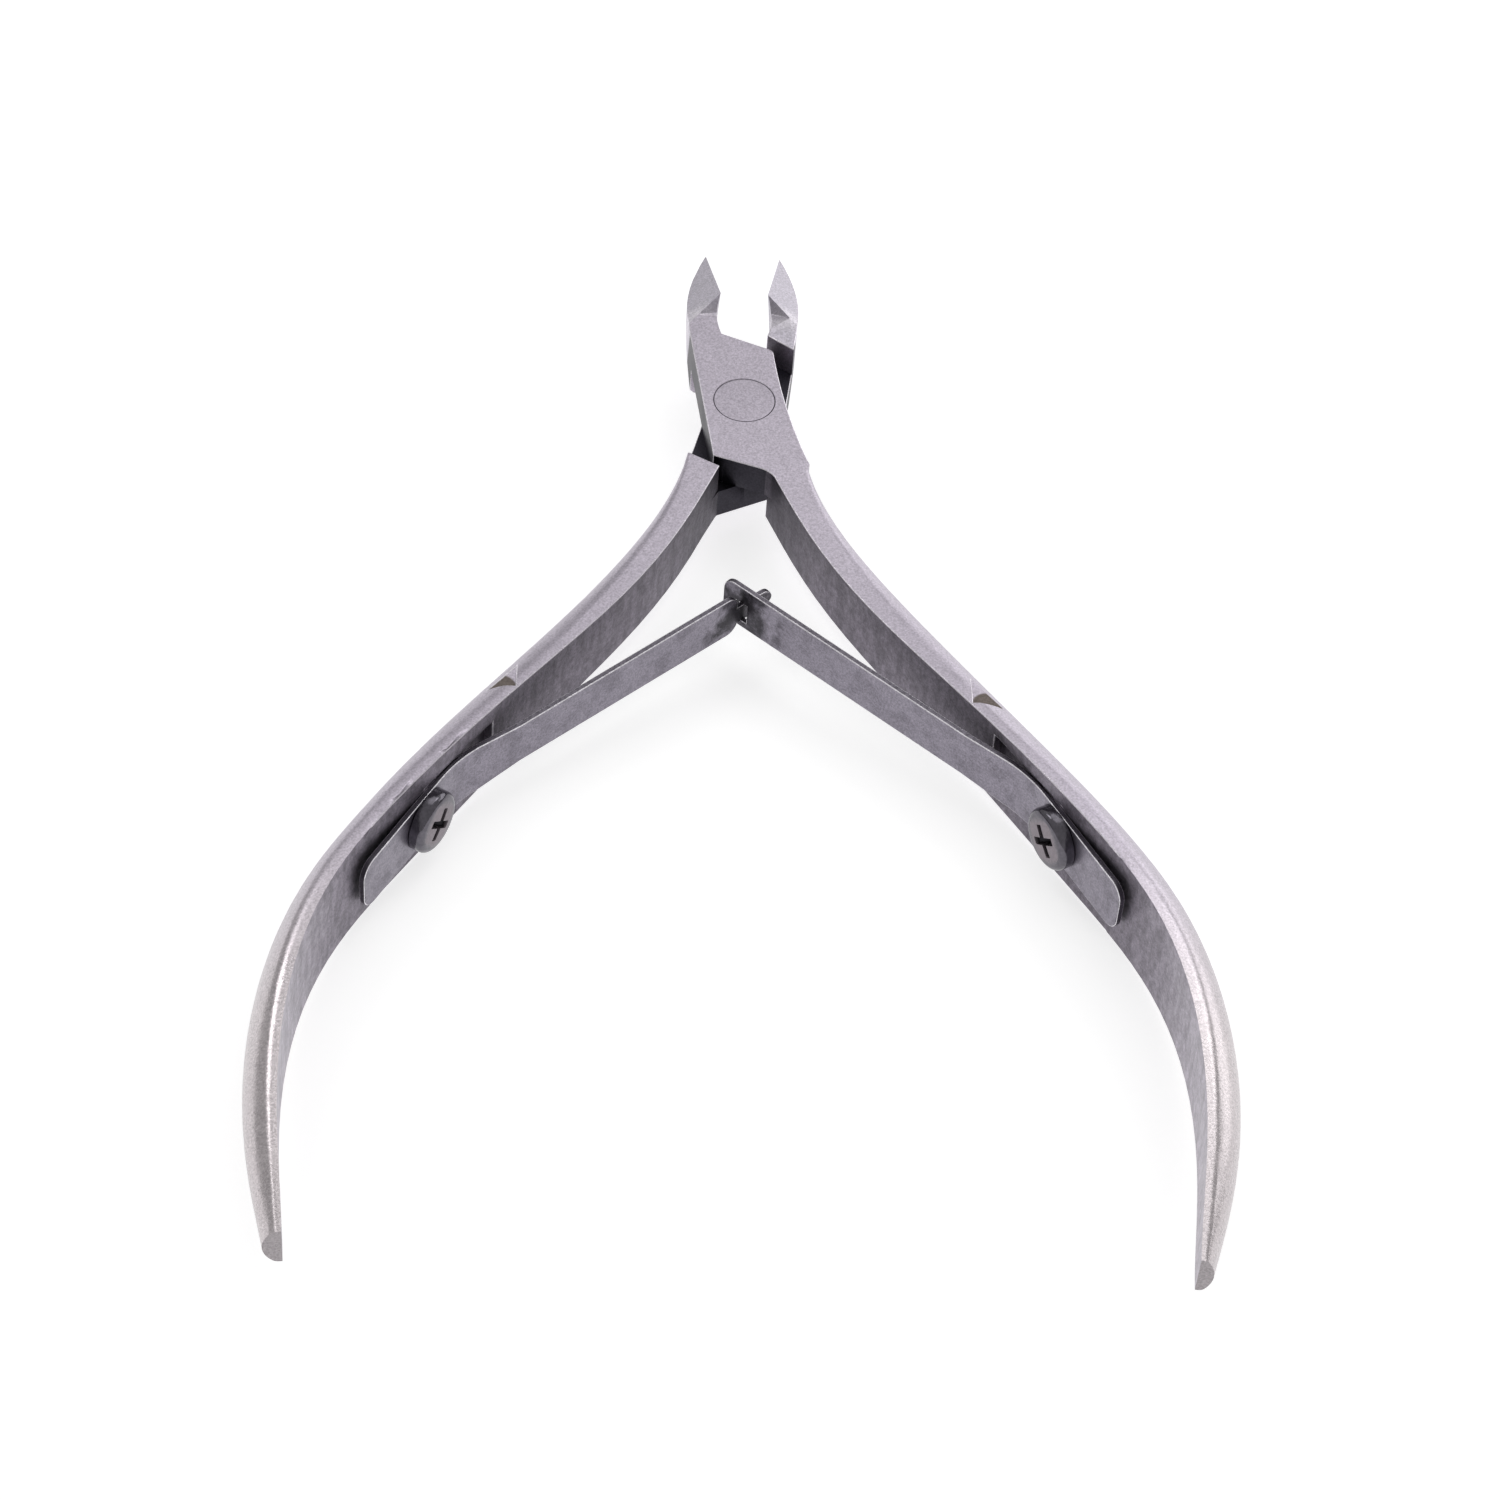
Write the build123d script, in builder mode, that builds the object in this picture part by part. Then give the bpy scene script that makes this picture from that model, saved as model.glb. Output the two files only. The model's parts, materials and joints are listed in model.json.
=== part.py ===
from build123d import *
import os
from math import cos, hypot, radians, sin, tan

# Cuticle nipper with a lap joint and a pair of interlocking leaf springs, lying flat and open.
# Millimetres. X is across the handles, +Y runs to the jaws, +Z is the front face.
# The pivot axis is the Z axis, and z = 0 is the plane in which the two halves lap.
# The front half carries the left jaw and the right handle, the rear half the other two.
# Outlines are written for the front half; side = -1 mirrors them for the rear half.

# Lap joint
half_thickness = 2.75
lap_clearance = 0.03
open_half_angle = 8.7
rivet_head_radius = 2.5
rivet_shank_radius = 2.0
rivet_head_depth = 0.7
rivet_clearance = 0.03

# Lap plate, between the shoulder of the jaw and the shoulder of the handle
throat_corner = (-1.88, 7.73)
plate_top_angle = 22.4
jaw_shoulder_angle = 36.0
plate_side_top_x = 2.35
plate_side_middle = (3.45, -0.8)
plate_side_foot = (5.2, -7.1)
plate_heels = {1: (-2.46, -6.46), -1: (-2.59, -5.58)}
plate_corner_radius = 0.6
web_corners = {1: (2.06, -7.97), -1: (1.95, -7.81)}
web_radii = {1: 2.3, -1: 0.2}
web_foot = (3.6, -10.9)
cheek_tops = {1: (-4.38, 7.1), -1: (-4.17, 7.1)}

# Jaws
tip_reach = 20.35
heel_reach = 12.8
edge_clearance = 0.02
jaw_widest = {1: (-4.7, 11.5), -1: (-4.5, 11.5)}
throat_depth_point = (-2.29, 10.2)
facet_ridge = (-3.79, 9.91)
relief_angle = 8.0
relief_start = 2.4
belly_start_y = 7.5
belly_middle = (14.6, -1.75)
belly_tip = -0.12
back_bevel_outer = (-4.8, 11.5, 0.3)
back_bevel_inner = (-3.1, 11.5, -2.6)
scoop_ramp_foot = (-2.4, 8.9)
scoop_crease = (-2.28, 11.1, 1.95)
scoop_reach = (-3.7, -1.2)
scoop_overcut = 1.3
scoop_crease_radius = 0.35

# Handles: a flat wall inside and a crowned outside. Each station has a point on the wall, the
# half width across Z, the depths of the front and rear halves, and the share of them that is flat.
handle_shoulder_angle = 29.6
handle_stations = [
    ((1.97, -7.6), 2.75, {1: 3.55, -1: 3.1}, 0.88),
    ((4.2, -13.0), 2.75, {1: 3.3, -1: 3.0}, 0.55),
    ((7.4, -19.2), 2.78, {1: 3.6, -1: 3.25}, 0.42),
    ((13.97, -28.7), 3.2, {1: 3.6, -1: 3.25}, 0.22),
    ((22.67, -40.9), 4.16, {1: 3.57, -1: 3.24}, 0.14),
    ((26.8, -47.2), 4.3, {1: 3.56, -1: 3.0}, 0.14),
    ((29.7, -52.6), 4.15, {1: 3.4, -1: 2.88}, 0.15),
    ((31.45, -57.8), 3.84, {1: 3.2, -1: 2.77}, 0.16),
    ((32.55, -66.5), 3.2, {1: 2.9, -1: 2.62}, 0.14),
    ((32.2, -74.5), 2.52, {1: 2.32, -1: 2.28}, 0.15),
    ((31.4, -82.1), 1.75, {1: 1.1, -1: 1.38}, 0.2),
]
crown_shoulder = 0.55
filed_flat_corner = (17.28, -32.8)
filed_flat_level = 2.9

# Leaf springs
spring_thickness = 0.45
foot_half_width = 2.35
leaf_half_widths = {1: 2.1, -1: 1.95}
leaf_rises = {1: 0.2, -1: 0.5}
taper_length = 4.0
spring_offsets = {1: 0.3, -1: -0.25}
seat_point = (23.9, -42.78)
foot_angle = 60.5
foot_beyond_screw = 8.4
foot_corner_radius = 1.3
bend_radius = 12.0
arm_angle = 40.5
crossing_y = -20.7
flex_clearance = 0.05
window_before = 0.75
window_after = 0.6
window_half_width = 1.2
window_level = 0.0
tongue_half_width = 0.85
tongue_past_crossing = 2.8
leaf_past_crossing = 1.8
shoulder_before_crossing = 0.7
leaf_corner_radius = 1.0

# Spring screws
screw_head_radius = 2.5
screw_head_height = 1.25
screw_head_chamfer = 0.4
screw_shank_radius = 1.1
screw_shank_length = 3.0
screw_clearance = 0.05
spring_hole_radius = 1.3
recess_length = 2.6
recess_width = 0.55
recess_depth = 0.7


def polar(reach, angle):
    """Point at a distance from the pivot, at an angle from +Y towards -X."""
    return (-reach * sin(radians(angle)), reach * cos(radians(angle)))


def mirrored(side, point):
    """The same point on the half of the given side."""
    return (side * point[0], point[1])


def direction_at(angle):
    """Unit direction at an angle from +X."""
    return (cos(radians(angle)), sin(radians(angle)))


def moved(point, direction, distance):
    """Point moved along a direction."""
    return (point[0] + distance * direction[0], point[1] + distance * direction[1])


def line_crossing(point_a, direction_a, point_b, direction_b):
    """Crossing point of two lines in the XY plane, each a point and a direction."""
    across = direction_a[0] * direction_b[1] - direction_a[1] * direction_b[0]
    offset_x = point_b[0] - point_a[0]
    offset_y = point_b[1] - point_a[1]
    run = (offset_x * direction_b[1] - offset_y * direction_b[0]) / across
    return moved(point_a, direction_a, run)


# ---- points shared by the pieces ----

tip = moved(polar(tip_reach, open_half_angle), (-1, 0), edge_clearance)
heel = moved(polar(heel_reach, open_half_angle), (-1, 0), edge_clearance)
plate_side_top = line_crossing(
    throat_corner, direction_at(-plate_top_angle), (plate_side_top_x, 0), direction_at(90)
)

# The springs' middle line runs up the foot, round the bend and along the arm to the crossing
foot_direction = direction_at(180 - foot_angle)
arm_direction = direction_at(180 - arm_angle)
seat_inward = (-foot_direction[1], foot_direction[0])
foot_middle = moved(seat_point, seat_inward, spring_thickness / 2)
bend_apex = line_crossing(foot_middle, foot_direction, (0, crossing_y), arm_direction)
bend_tangent = bend_radius * tan(radians((foot_angle - arm_angle) / 2))
bend_start = moved(bend_apex, foot_direction, -bend_tangent)
flex_point = moved(bend_apex, arm_direction, bend_tangent)
arm_length = hypot(flex_point[0], flex_point[1] - crossing_y)


def crown_junction(half_width, depth, flat):
    """Point where the small arc of a handle's crown runs into the large arc of its back."""
    rise = depth - flat
    small = crown_shoulder * rise
    large = (rise**2 + half_width**2 - 2 * half_width * small) / (2 * (rise - small))
    center = depth - large
    spread = hypot(flat - center, half_width - small)
    return (center + (flat - center) * large / spread, (half_width - small) * large / spread)


def half_of_nipper(side):
    """Jaw, lap plate and handle of one half, forged in one piece."""
    plate_heel = mirrored(side, plate_heels[side])
    cheek_top = mirrored(side, cheek_tops[side])
    cheek_direction = (cheek_top[0] - plate_heel[0], cheek_top[1] - plate_heel[1])
    shoulder_direction = mirrored(side, direction_at(180 + jaw_shoulder_angle))
    shoulder_cheek = line_crossing(
        mirrored(side, throat_corner), shoulder_direction, cheek_top, cheek_direction
    )
    with BuildPart() as half:
        # Lap plate, half the joint's thickness
        with BuildSketch(Plane.XY.offset(side * lap_clearance / 2)) as plate_sketch:
            with BuildLine():
                Line(mirrored(side, throat_corner), mirrored(side, plate_side_top))
                ThreePointArc(
                    mirrored(side, plate_side_top),
                    mirrored(side, plate_side_middle),
                    mirrored(side, plate_side_foot),
                )
                Polyline(
                    mirrored(side, plate_side_foot),
                    mirrored(side, web_foot),
                    mirrored(side, web_corners[side]),
                    plate_heel,
                    cheek_top,
                    mirrored(side, throat_corner),
                )
            make_face()
            for corner, radius in (
                (plate_side_top, plate_corner_radius),
                (web_corners[side], web_radii[side]),
            ):
                nearest = plate_sketch.vertices().sort_by_distance(mirrored(side, corner))[0]
                fillet(nearest, radius)
        extrude(plate_sketch.sketch, amount=side * (half_thickness - lap_clearance / 2))
        # Jaw, full thickness
        with BuildSketch(Plane.XY.offset(-half_thickness)) as jaw_sketch:
            with BuildLine():
                ThreePointArc(
                    mirrored(side, throat_corner), mirrored(side, throat_depth_point), mirrored(side, heel)
                )
                Line(mirrored(side, heel), mirrored(side, tip))
                cheek = Line(shoulder_cheek, cheek_top)
                lower_cheek = TangentArc(cheek @ 1, mirrored(side, jaw_widest[side]), tangent=cheek % 1)
                TangentArc(lower_cheek @ 1, mirrored(side, tip), tangent=lower_cheek % 1)
                Line(shoulder_cheek, mirrored(side, throat_corner))
            make_face()
        extrude(jaw_sketch.sketch, amount=2 * half_thickness)
        # Cutting facet on the front, relief inside the edge, and belly behind
        tip_corner = Vector(*mirrored(side, tip), 0)
        heel_corner = Vector(*mirrored(side, heel), half_thickness)
        ridge_corner = Vector(*mirrored(side, facet_ridge), half_thickness)
        edge = (tip_corner - heel_corner).normalized()
        facet_normal = edge.cross(heel_corner - ridge_corner).normalized()
        if facet_normal.Z < 0:
            facet_normal = facet_normal * -1
        with Locations(Plane(origin=heel_corner, x_dir=edge, z_dir=facet_normal)):
            Box(30, 24, 8, align=(Align.CENTER, Align.CENTER, Align.MIN), mode=Mode.SUBTRACT)
        inward = Vector(side, 0, 0)
        level = Vector(-edge.Y, edge.X, 0).normalized() * -1
        if level.dot(inward) < 0:
            level = level * -1
        relief_normal = level.rotate(Axis(heel_corner, edge), -side * relief_angle)
        if relief_normal.Z > 0:
            relief_normal = level.rotate(Axis(heel_corner, edge), side * relief_angle)
        relief_origin = heel_corner - edge * relief_start
        with Locations(Plane(origin=relief_origin, x_dir=edge, z_dir=relief_normal)):
            Box(14, 20, 3, align=(Align.MIN, Align.CENTER, Align.MIN), mode=Mode.SUBTRACT)
        with BuildSketch(Plane.YZ.offset(-10)) as belly_sketch:
            with BuildLine():
                ThreePointArc((belly_start_y, -half_thickness), belly_middle, (tip[1] + 0.3, belly_tip))
                Line((tip[1] + 0.3, belly_tip), (tip[1] + 0.3, -2 * half_thickness))
                Line((tip[1] + 0.3, -2 * half_thickness), (belly_start_y, -2 * half_thickness))
                Line((belly_start_y, -2 * half_thickness), (belly_start_y, -half_thickness))
            make_face()
        extrude(belly_sketch.sketch, amount=20, mode=Mode.SUBTRACT)
        bevel_points = [Vector(side * point[0], point[1], point[2]) for point in (
            back_bevel_outer, back_bevel_inner, (tip[0] - 0.08, tip[1], belly_tip))]
        bevel_normal = (bevel_points[1] - bevel_points[0]).cross(bevel_points[2] - bevel_points[0])
        if bevel_normal.Z > 0:
            bevel_normal = bevel_normal * -1
        with Locations(Plane(origin=bevel_points[0], z_dir=bevel_normal)):
            Box(30, 30, 6, align=(Align.CENTER, Align.CENTER, Align.MIN), mode=Mode.SUBTRACT)
        # Hollow ground behind the facet: it runs out at the ridge's outer end
        hollow_sections = []
        for reach in scoop_reach:
            share = (reach - facet_ridge[0]) / (heel[0] - facet_ridge[0])
            wall_y = facet_ridge[1] + share * (heel[1] - facet_ridge[1])
            share = (reach - facet_ridge[0]) / (scoop_ramp_foot[0] - facet_ridge[0])
            foot_y = facet_ridge[1] + share * (scoop_ramp_foot[1] - facet_ridge[1])
            share = (reach - facet_ridge[0]) / (scoop_crease[0] - facet_ridge[0])
            crease_y = facet_ridge[1] + share * (scoop_crease[1] - facet_ridge[1])
            crease_z = half_thickness + share * (scoop_crease[2] - half_thickness)
            over_z = crease_z + scoop_overcut * (half_thickness - crease_z)
            with BuildSketch(Plane.YZ.offset(side * reach)) as hollow:
                with BuildLine():
                    Polyline(
                        (crease_y, crease_z),
                        (crease_y + scoop_overcut * (wall_y - crease_y), over_z),
                        (crease_y + scoop_overcut * (foot_y - crease_y), over_z),
                        (crease_y, crease_z),
                    )
                make_face()
                lowest = hollow.vertices().sort_by(Axis.Z)[0]
                fillet(lowest, scoop_crease_radius * share)
            hollow_sections.append(hollow.sketch)
        loft(hollow_sections, ruled=True, mode=Mode.SUBTRACT)
        # Handle, lofted through its stations
        sections = []
        wall = Spline(*[mirrored(side, station[0]) for station in handle_stations], mode=Mode.PRIVATE)
        for place, half_width, depths, flat_share in handle_stations:
            point = Vector(*mirrored(side, place))
            along = wall.tangent_at(wall.param_at_point(point))
            if place == handle_stations[0][0]:
                along = Vector(*mirrored(side, direction_at(handle_shoulder_angle - 90)))
            outward = Vector(-along.Y * side, along.X * side, 0)
            flat = flat_share * depths[side]
            junction = crown_junction(half_width, depths[side], flat)
            with BuildSketch(Plane(origin=point, x_dir=outward, z_dir=along)) as section:
                with BuildLine():
                    Line((0, -half_width), (0, half_width))
                    Line((0, half_width), (flat, half_width))
                    front_corner = TangentArc((flat, half_width), junction, tangent=(1, 0))
                    middle = TangentArc(junction, (junction[0], -junction[1]), tangent=front_corner % 1)
                    TangentArc(middle @ 1, (flat, -half_width), tangent=middle % 1)
                    Line((flat, -half_width), (0, -half_width))
                make_face()
            sections.append(section.sketch)
        loft(sections)
        # Flat filed across the front of the crown
        outer_align = Align.MIN if side == 1 else Align.MAX
        with Locations((*mirrored(side, filed_flat_corner), filed_flat_level)):
            Box(4, 3, 2, align=(outer_align, Align.MIN, Align.MIN), mode=Mode.SUBTRACT)
        # Flat milled for the spring's foot, and the blind hole for its screw
        inward = Vector(*mirrored(side, seat_inward), 0)
        foot_up = Vector(*mirrored(side, foot_direction), 0)
        seat = Vector(*mirrored(side, seat_point), spring_offsets[side])
        seat_plane = Plane(origin=seat, x_dir=foot_up, z_dir=inward)
        with Locations(seat_plane):
            Box(2 * foot_beyond_screw + 1, 2 * foot_half_width + 0.4, 1.0,
                align=(Align.CENTER, Align.CENTER, Align.MIN), mode=Mode.SUBTRACT)
            Cylinder(screw_shank_radius + screw_clearance, screw_shank_length - spring_thickness + 0.1,
                     align=(Align.CENTER, Align.CENTER, Align.MAX), mode=Mode.SUBTRACT)
        # Rivet: a fit in the rear half and a running fit in the front half
        with BuildSketch(Plane.XZ) as bore_sketch:
            bore_gap = rivet_clearance if side == 1 else 0
            with BuildLine():
                Polyline(
                    (0, 0),
                    (rivet_shank_radius + bore_gap, 0),
                    (rivet_shank_radius + bore_gap, side * (half_thickness - rivet_head_depth)),
                    (rivet_head_radius + bore_gap, side * half_thickness),
                    (rivet_head_radius + bore_gap, side * (half_thickness + 0.5)),
                    (0, side * (half_thickness + 0.5)),
                    (0, 0),
                )
            make_face()
        revolve(bore_sketch.sketch, axis=Axis.Z, mode=Mode.SUBTRACT)
    return half


def spring_plane(side, point, direction):
    """Plane square to the strip at a point of its middle line: x along the strip, y across it."""
    along = Vector(*mirrored(side, direction))
    return Plane(
        origin=Vector(*mirrored(side, point), spring_offsets[side]),
        x_dir=along,
        z_dir=Vector(along.Y, -along.X),
    )


def spring_foot(side):
    """Root of a leaf spring: rounded end, screw hole, flat foot and bend."""
    foot_root = moved(foot_middle, foot_direction, -foot_beyond_screw)
    root_level = spring_offsets[side] - foot_half_width
    with BuildPart() as foot:
        with BuildSketch(Plane.XY.offset(root_level)) as strip:
            with BuildLine():
                flat = Line(mirrored(side, foot_root), mirrored(side, bend_start))
                TangentArc(flat @ 1, mirrored(side, flex_point), tangent=flat % 1)
            trace(line_width=spring_thickness)
        extrude(strip.sketch, amount=2 * foot_half_width)
        # Gap left for the arm's rounded root
        with Locations(mirrored(side, flex_point)):
            Cylinder(spring_thickness / 2 + flex_clearance, 4 * foot_half_width, mode=Mode.SUBTRACT)
        with Locations(spring_plane(side, foot_middle, foot_direction)):
            Cylinder(spring_hole_radius, 4, mode=Mode.SUBTRACT)
        short_edges = foot.edges().filter_by(lambda edge: edge.length < 1.1 * spring_thickness)
        fillet(short_edges.sort_by(Axis.Y)[:2], foot_corner_radius)
    return foot


def spring_leaf(side):
    """Straight arm of a leaf spring: the right one has a window, the left one a tongue."""
    arm_plane = spring_plane(side, flex_point, arm_direction)
    full_end = arm_length + (leaf_past_crossing if side == 1 else -shoulder_before_crossing)
    end_level = leaf_rises[side]
    taper_level = end_level * taper_length / full_end
    half_width = leaf_half_widths[side]
    with BuildPart() as leaf:
        with BuildSketch(arm_plane.offset(-spring_thickness / 2)) as outline:
            with BuildLine():
                Polyline(
                    (0, -foot_half_width),
                    (taper_length, taper_level - half_width),
                    (full_end, end_level - half_width),
                    (full_end, end_level + half_width),
                    (taper_length, taper_level + half_width),
                    (0, foot_half_width),
                    (0, -foot_half_width),
                )
            make_face()
            corners = outline.vertices().filter_by(
                lambda corner: (Vector(corner) - arm_plane.origin).length > arm_length / 2
            )
            fillet(corners, leaf_corner_radius)
            if side == -1:
                with Locations((arm_length, window_level - spring_offsets[side])):
                    SlotOverall(2 * tongue_past_crossing, 2 * tongue_half_width)
        extrude(outline.sketch, amount=spring_thickness)
        if side == 1:
            with BuildSketch(arm_plane.offset(-spring_thickness)) as window:
                middle = arm_length + (window_after - window_before) / 2
                with Locations((middle, window_level - spring_offsets[side])):
                    Rectangle(window_before + window_after, 2 * window_half_width)
            extrude(window.sketch, amount=2 * spring_thickness, mode=Mode.SUBTRACT)
        # Rounded root, on the axis about which the spring flexes
        with Locations((side * flex_point[0], flex_point[1], spring_offsets[side])):
            Cylinder(spring_thickness / 2, 2 * foot_half_width)
    return leaf


def spring_screw(side):
    """Pan-head screw with a cross recess, through the spring into the handle."""
    seat = Vector(*mirrored(side, seat_point), spring_offsets[side])
    inward = Vector(*mirrored(side, seat_inward))
    under_head = Plane(origin=seat + inward * spring_thickness, x_dir=Vector(0, 0, 1), z_dir=inward)
    with BuildPart() as screw:
        with Locations(under_head):
            Cylinder(screw_head_radius, screw_head_height, align=(Align.CENTER, Align.CENTER, Align.MIN))
        front_edge = screw.edges().sort_by(Axis(under_head.origin, inward))[-1]
        chamfer(front_edge, screw_head_chamfer)
        with Locations(under_head):
            Cylinder(screw_shank_radius, screw_shank_length, align=(Align.CENTER, Align.CENTER, Align.MAX))
        with Locations(under_head.offset(screw_head_height)):
            Box(recess_length, recess_width, 2 * recess_depth, mode=Mode.SUBTRACT)
            Box(recess_width, recess_length, 2 * recess_depth, mode=Mode.SUBTRACT)
    return screw


def pivot_rivet():
    """Rivet with two countersunk heads, ground flush."""
    with BuildPart() as rivet:
        with BuildSketch(Plane.XZ):
            with BuildLine():
                Polyline(
                    (0, -half_thickness),
                    (rivet_head_radius, -half_thickness),
                    (rivet_shank_radius, -half_thickness + rivet_head_depth),
                    (rivet_shank_radius, half_thickness - rivet_head_depth),
                    (rivet_head_radius, half_thickness),
                    (0, half_thickness),
                    (0, -half_thickness),
                )
            make_face()
        revolve(axis=Axis.Z)
    return rivet


os.makedirs("parts", exist_ok=True)
pieces = {
    "front_half": half_of_nipper(1),
    "rear_half": half_of_nipper(-1),
    "pivot_rivet": pivot_rivet(),
    "left_spring_foot": spring_foot(-1),
    "left_spring_leaf": spring_leaf(-1),
    "right_spring_foot": spring_foot(1),
    "right_spring_leaf": spring_leaf(1),
    "left_screw": spring_screw(-1),
    "right_screw": spring_screw(1),
}
# The pieces are drawn about the lap plane and stored with the back face of the joint at z = 0
for name, piece in pieces.items():
    placed = piece.part.moved(Location((0, 0, half_thickness)))
    placed.label = name
    export_step(placed, "parts/" + name + ".step")
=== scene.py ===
"""Looks of a cuticle nipper with a lap joint and two interlocking leaf springs, round its CAD model."""

import json
from functools import partial
from math import cos, pi, radians, sin

import bmesh
import bpy
import numpy as np
from bpy.props import FloatProperty, FloatVectorProperty, PointerProperty
from bpy.types import Operator, Panel, PropertyGroup
from mathutils import Matrix, Vector


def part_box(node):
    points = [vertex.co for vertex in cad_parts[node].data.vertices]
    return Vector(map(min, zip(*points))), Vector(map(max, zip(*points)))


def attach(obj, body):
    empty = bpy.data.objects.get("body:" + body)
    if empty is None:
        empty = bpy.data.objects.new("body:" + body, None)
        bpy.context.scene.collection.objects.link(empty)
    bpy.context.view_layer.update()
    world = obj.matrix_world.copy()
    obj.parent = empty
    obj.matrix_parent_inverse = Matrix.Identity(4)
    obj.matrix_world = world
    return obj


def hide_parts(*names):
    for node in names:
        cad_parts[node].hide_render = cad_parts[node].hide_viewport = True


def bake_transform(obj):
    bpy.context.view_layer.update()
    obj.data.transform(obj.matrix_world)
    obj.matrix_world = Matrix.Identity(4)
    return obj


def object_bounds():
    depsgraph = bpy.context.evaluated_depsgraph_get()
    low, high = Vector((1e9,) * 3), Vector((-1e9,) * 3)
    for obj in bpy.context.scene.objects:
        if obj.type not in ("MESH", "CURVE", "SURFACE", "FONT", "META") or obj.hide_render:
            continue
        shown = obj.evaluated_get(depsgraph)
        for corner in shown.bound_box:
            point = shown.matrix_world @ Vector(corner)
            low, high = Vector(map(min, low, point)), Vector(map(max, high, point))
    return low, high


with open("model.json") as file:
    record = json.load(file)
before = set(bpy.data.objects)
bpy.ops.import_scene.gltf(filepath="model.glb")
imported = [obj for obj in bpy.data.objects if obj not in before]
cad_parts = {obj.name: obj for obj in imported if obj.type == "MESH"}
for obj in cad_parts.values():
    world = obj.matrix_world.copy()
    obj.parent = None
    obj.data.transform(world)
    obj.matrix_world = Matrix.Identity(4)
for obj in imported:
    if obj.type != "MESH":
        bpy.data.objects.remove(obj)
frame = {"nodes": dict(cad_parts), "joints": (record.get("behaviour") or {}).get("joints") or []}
CAD_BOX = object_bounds()

bl_info = {
    "name": "Cuticle Nipper",
    "version": (1, 0, 0),
    "blender": (4, 5, 0),
    "location": "3D View > Sidebar > Nipper",
    "description": "Builds the looks of a cuticle nipper round its CAD model",
    "category": "Object",
}

MM = 0.001
SIDES = {"right": 1, "left": -1}
HALVES = {"front": 1, "rear": -1}
SPRING_JOINTS = {"right": "right_spring_flex", "left": "left_spring_flex"}
SPRING_ROOTS = {"right": "front", "left": "rear"}
RIVET_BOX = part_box("pivot_rivet")
LAP_LEVEL = (RIVET_BOX[0][2] + RIVET_BOX[1][2]) / 2
# Along the tool, the lap plates' lower corners lie between these two levels
LAP_CORNERS = (-9.3 * MM, -6.75 * MM)
# Points nearer than this are one point of a new piece
WELD = 0.002 * MM
# Lines across a spring: cells in the band below the window or tongue, in it, and above it
BAND_CELLS = (4, 8, 4)


def linear(hex_colour):
    """Linear RGB of an sRGB hex colour."""
    channels = np.array([int(hex_colour[i : i + 2], 16) for i in (1, 3, 5)]) / 255
    low = channels <= 0.04045
    return tuple(float(c) for c in np.where(low, channels / 12.92, ((channels + 0.055) / 1.055) ** 2.4))


def length(name, description, millimetres, smallest=0.0):
    """Property for a length, with its default in millimetres."""
    return FloatProperty(
        name=name,
        description=description,
        default=millimetres * MM,
        min=smallest * MM,
        unit="LENGTH",
        precision=5,
    )


def turn(name, description, degrees):
    """Property for an angle, with its default in degrees."""
    return FloatProperty(name=name, description=description, default=radians(degrees), subtype="ANGLE")


def colour(name, description, hex_colour):
    """Property for a colour, with its default in sRGB hex."""
    return FloatVectorProperty(
        name=name, description=description, default=linear(hex_colour), size=3, min=0, max=1, subtype="COLOR"
    )


def amount(name, description, default):
    """Property for a plain number."""
    return FloatProperty(name=name, description=description, default=default, min=0)


# ---- sizes and colours a user would change ----


class StageSettings(PropertyGroup):
    """Camera, lamps and floor."""

    camera_distance: length("Camera distance", "From the lens to the aim point", 326.6)
    camera_elevation: turn("Camera elevation", "Above the floor", 48.25)
    camera_azimuth: turn("Camera azimuth", "Round the object, from the handles' side", -3.63)
    camera_roll: turn("Camera roll", "About the line of sight", 4.8)
    aim_x: length("Aim across", "Aim point on the lap plane", 0.58, -100)
    aim_y: length("Aim along", "Aim point on the lap plane", -35.28, -200)
    lens: length("Lens", "Focal length on a 36 mm sensor", 103.6)
    floor_colour: colour("Floor", "Plain pale floor", "#cccccc")
    floor_lift: amount("Floor lift", "White added where the camera and reflections see the floor", 0.66)
    sky: amount("Sky", "Strength of the even light all round", 0.5)
    softbox: amount("Softbox", "Brightness of the overhead softbox", 0.92)
    right_panel: amount("Right panel", "Brightness of the low panel on the right", 1.3)
    right_strip: amount("Right strip", "Brightness of the small high lamp on the right", 2.3)
    left_strip: amount("Left strip", "Brightness of the small high lamp on the left", 2.9)


class SteelSettings(PropertyGroup):
    """Forged halves."""

    blasted: colour("Blasted steel", "Bead-blasted faces of the joint and handles", "#bab3be")
    # Lighter colour of the handles' ends: partly their buffing, partly painted sheen
    buffed_and_sheen: colour("Buffed steel", "Handles where the hand polishes them", "#c4bdbf")
    ground: colour("Ground steel", "Sharpened faces of the jaws", "#c4bfc9")
    # Colour of the inner walls: partly the forging's darker skin, partly painted shade
    forged: colour("Forged steel", "Inner walls of the handles, left from the forge", "#7f7983")
    # Painted shade: near-black colour for the lap walls, the web, in part the handles' end faces, the inner
    # walls towards the joint and a ring round the rivet's rim
    joint_shade: colour("Lap walls", "Oiled walls inside the lap joint", "#3a383f")
    oxide: colour("Filed flat", "Brown film on the filed flats", "#6a625e")
    # Light colour of the rounded edges, partly burnish and partly painted highlight, and of the painted
    # highlight at the scoops' roots
    edge: colour("Worn edges", "Edges that the blasting and the hand have burnished", "#e2dde4")
    edge_radius: length("Edge rounding", "Rounding left on the edges by the blasting", 0.07)


class RivetSettings(PropertyGroup):
    """Flush pivot rivet."""

    chamfer: length("Rim chamfer", "Chamfer round the rivet's head, seen as a dark ring", 0.05)


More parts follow.
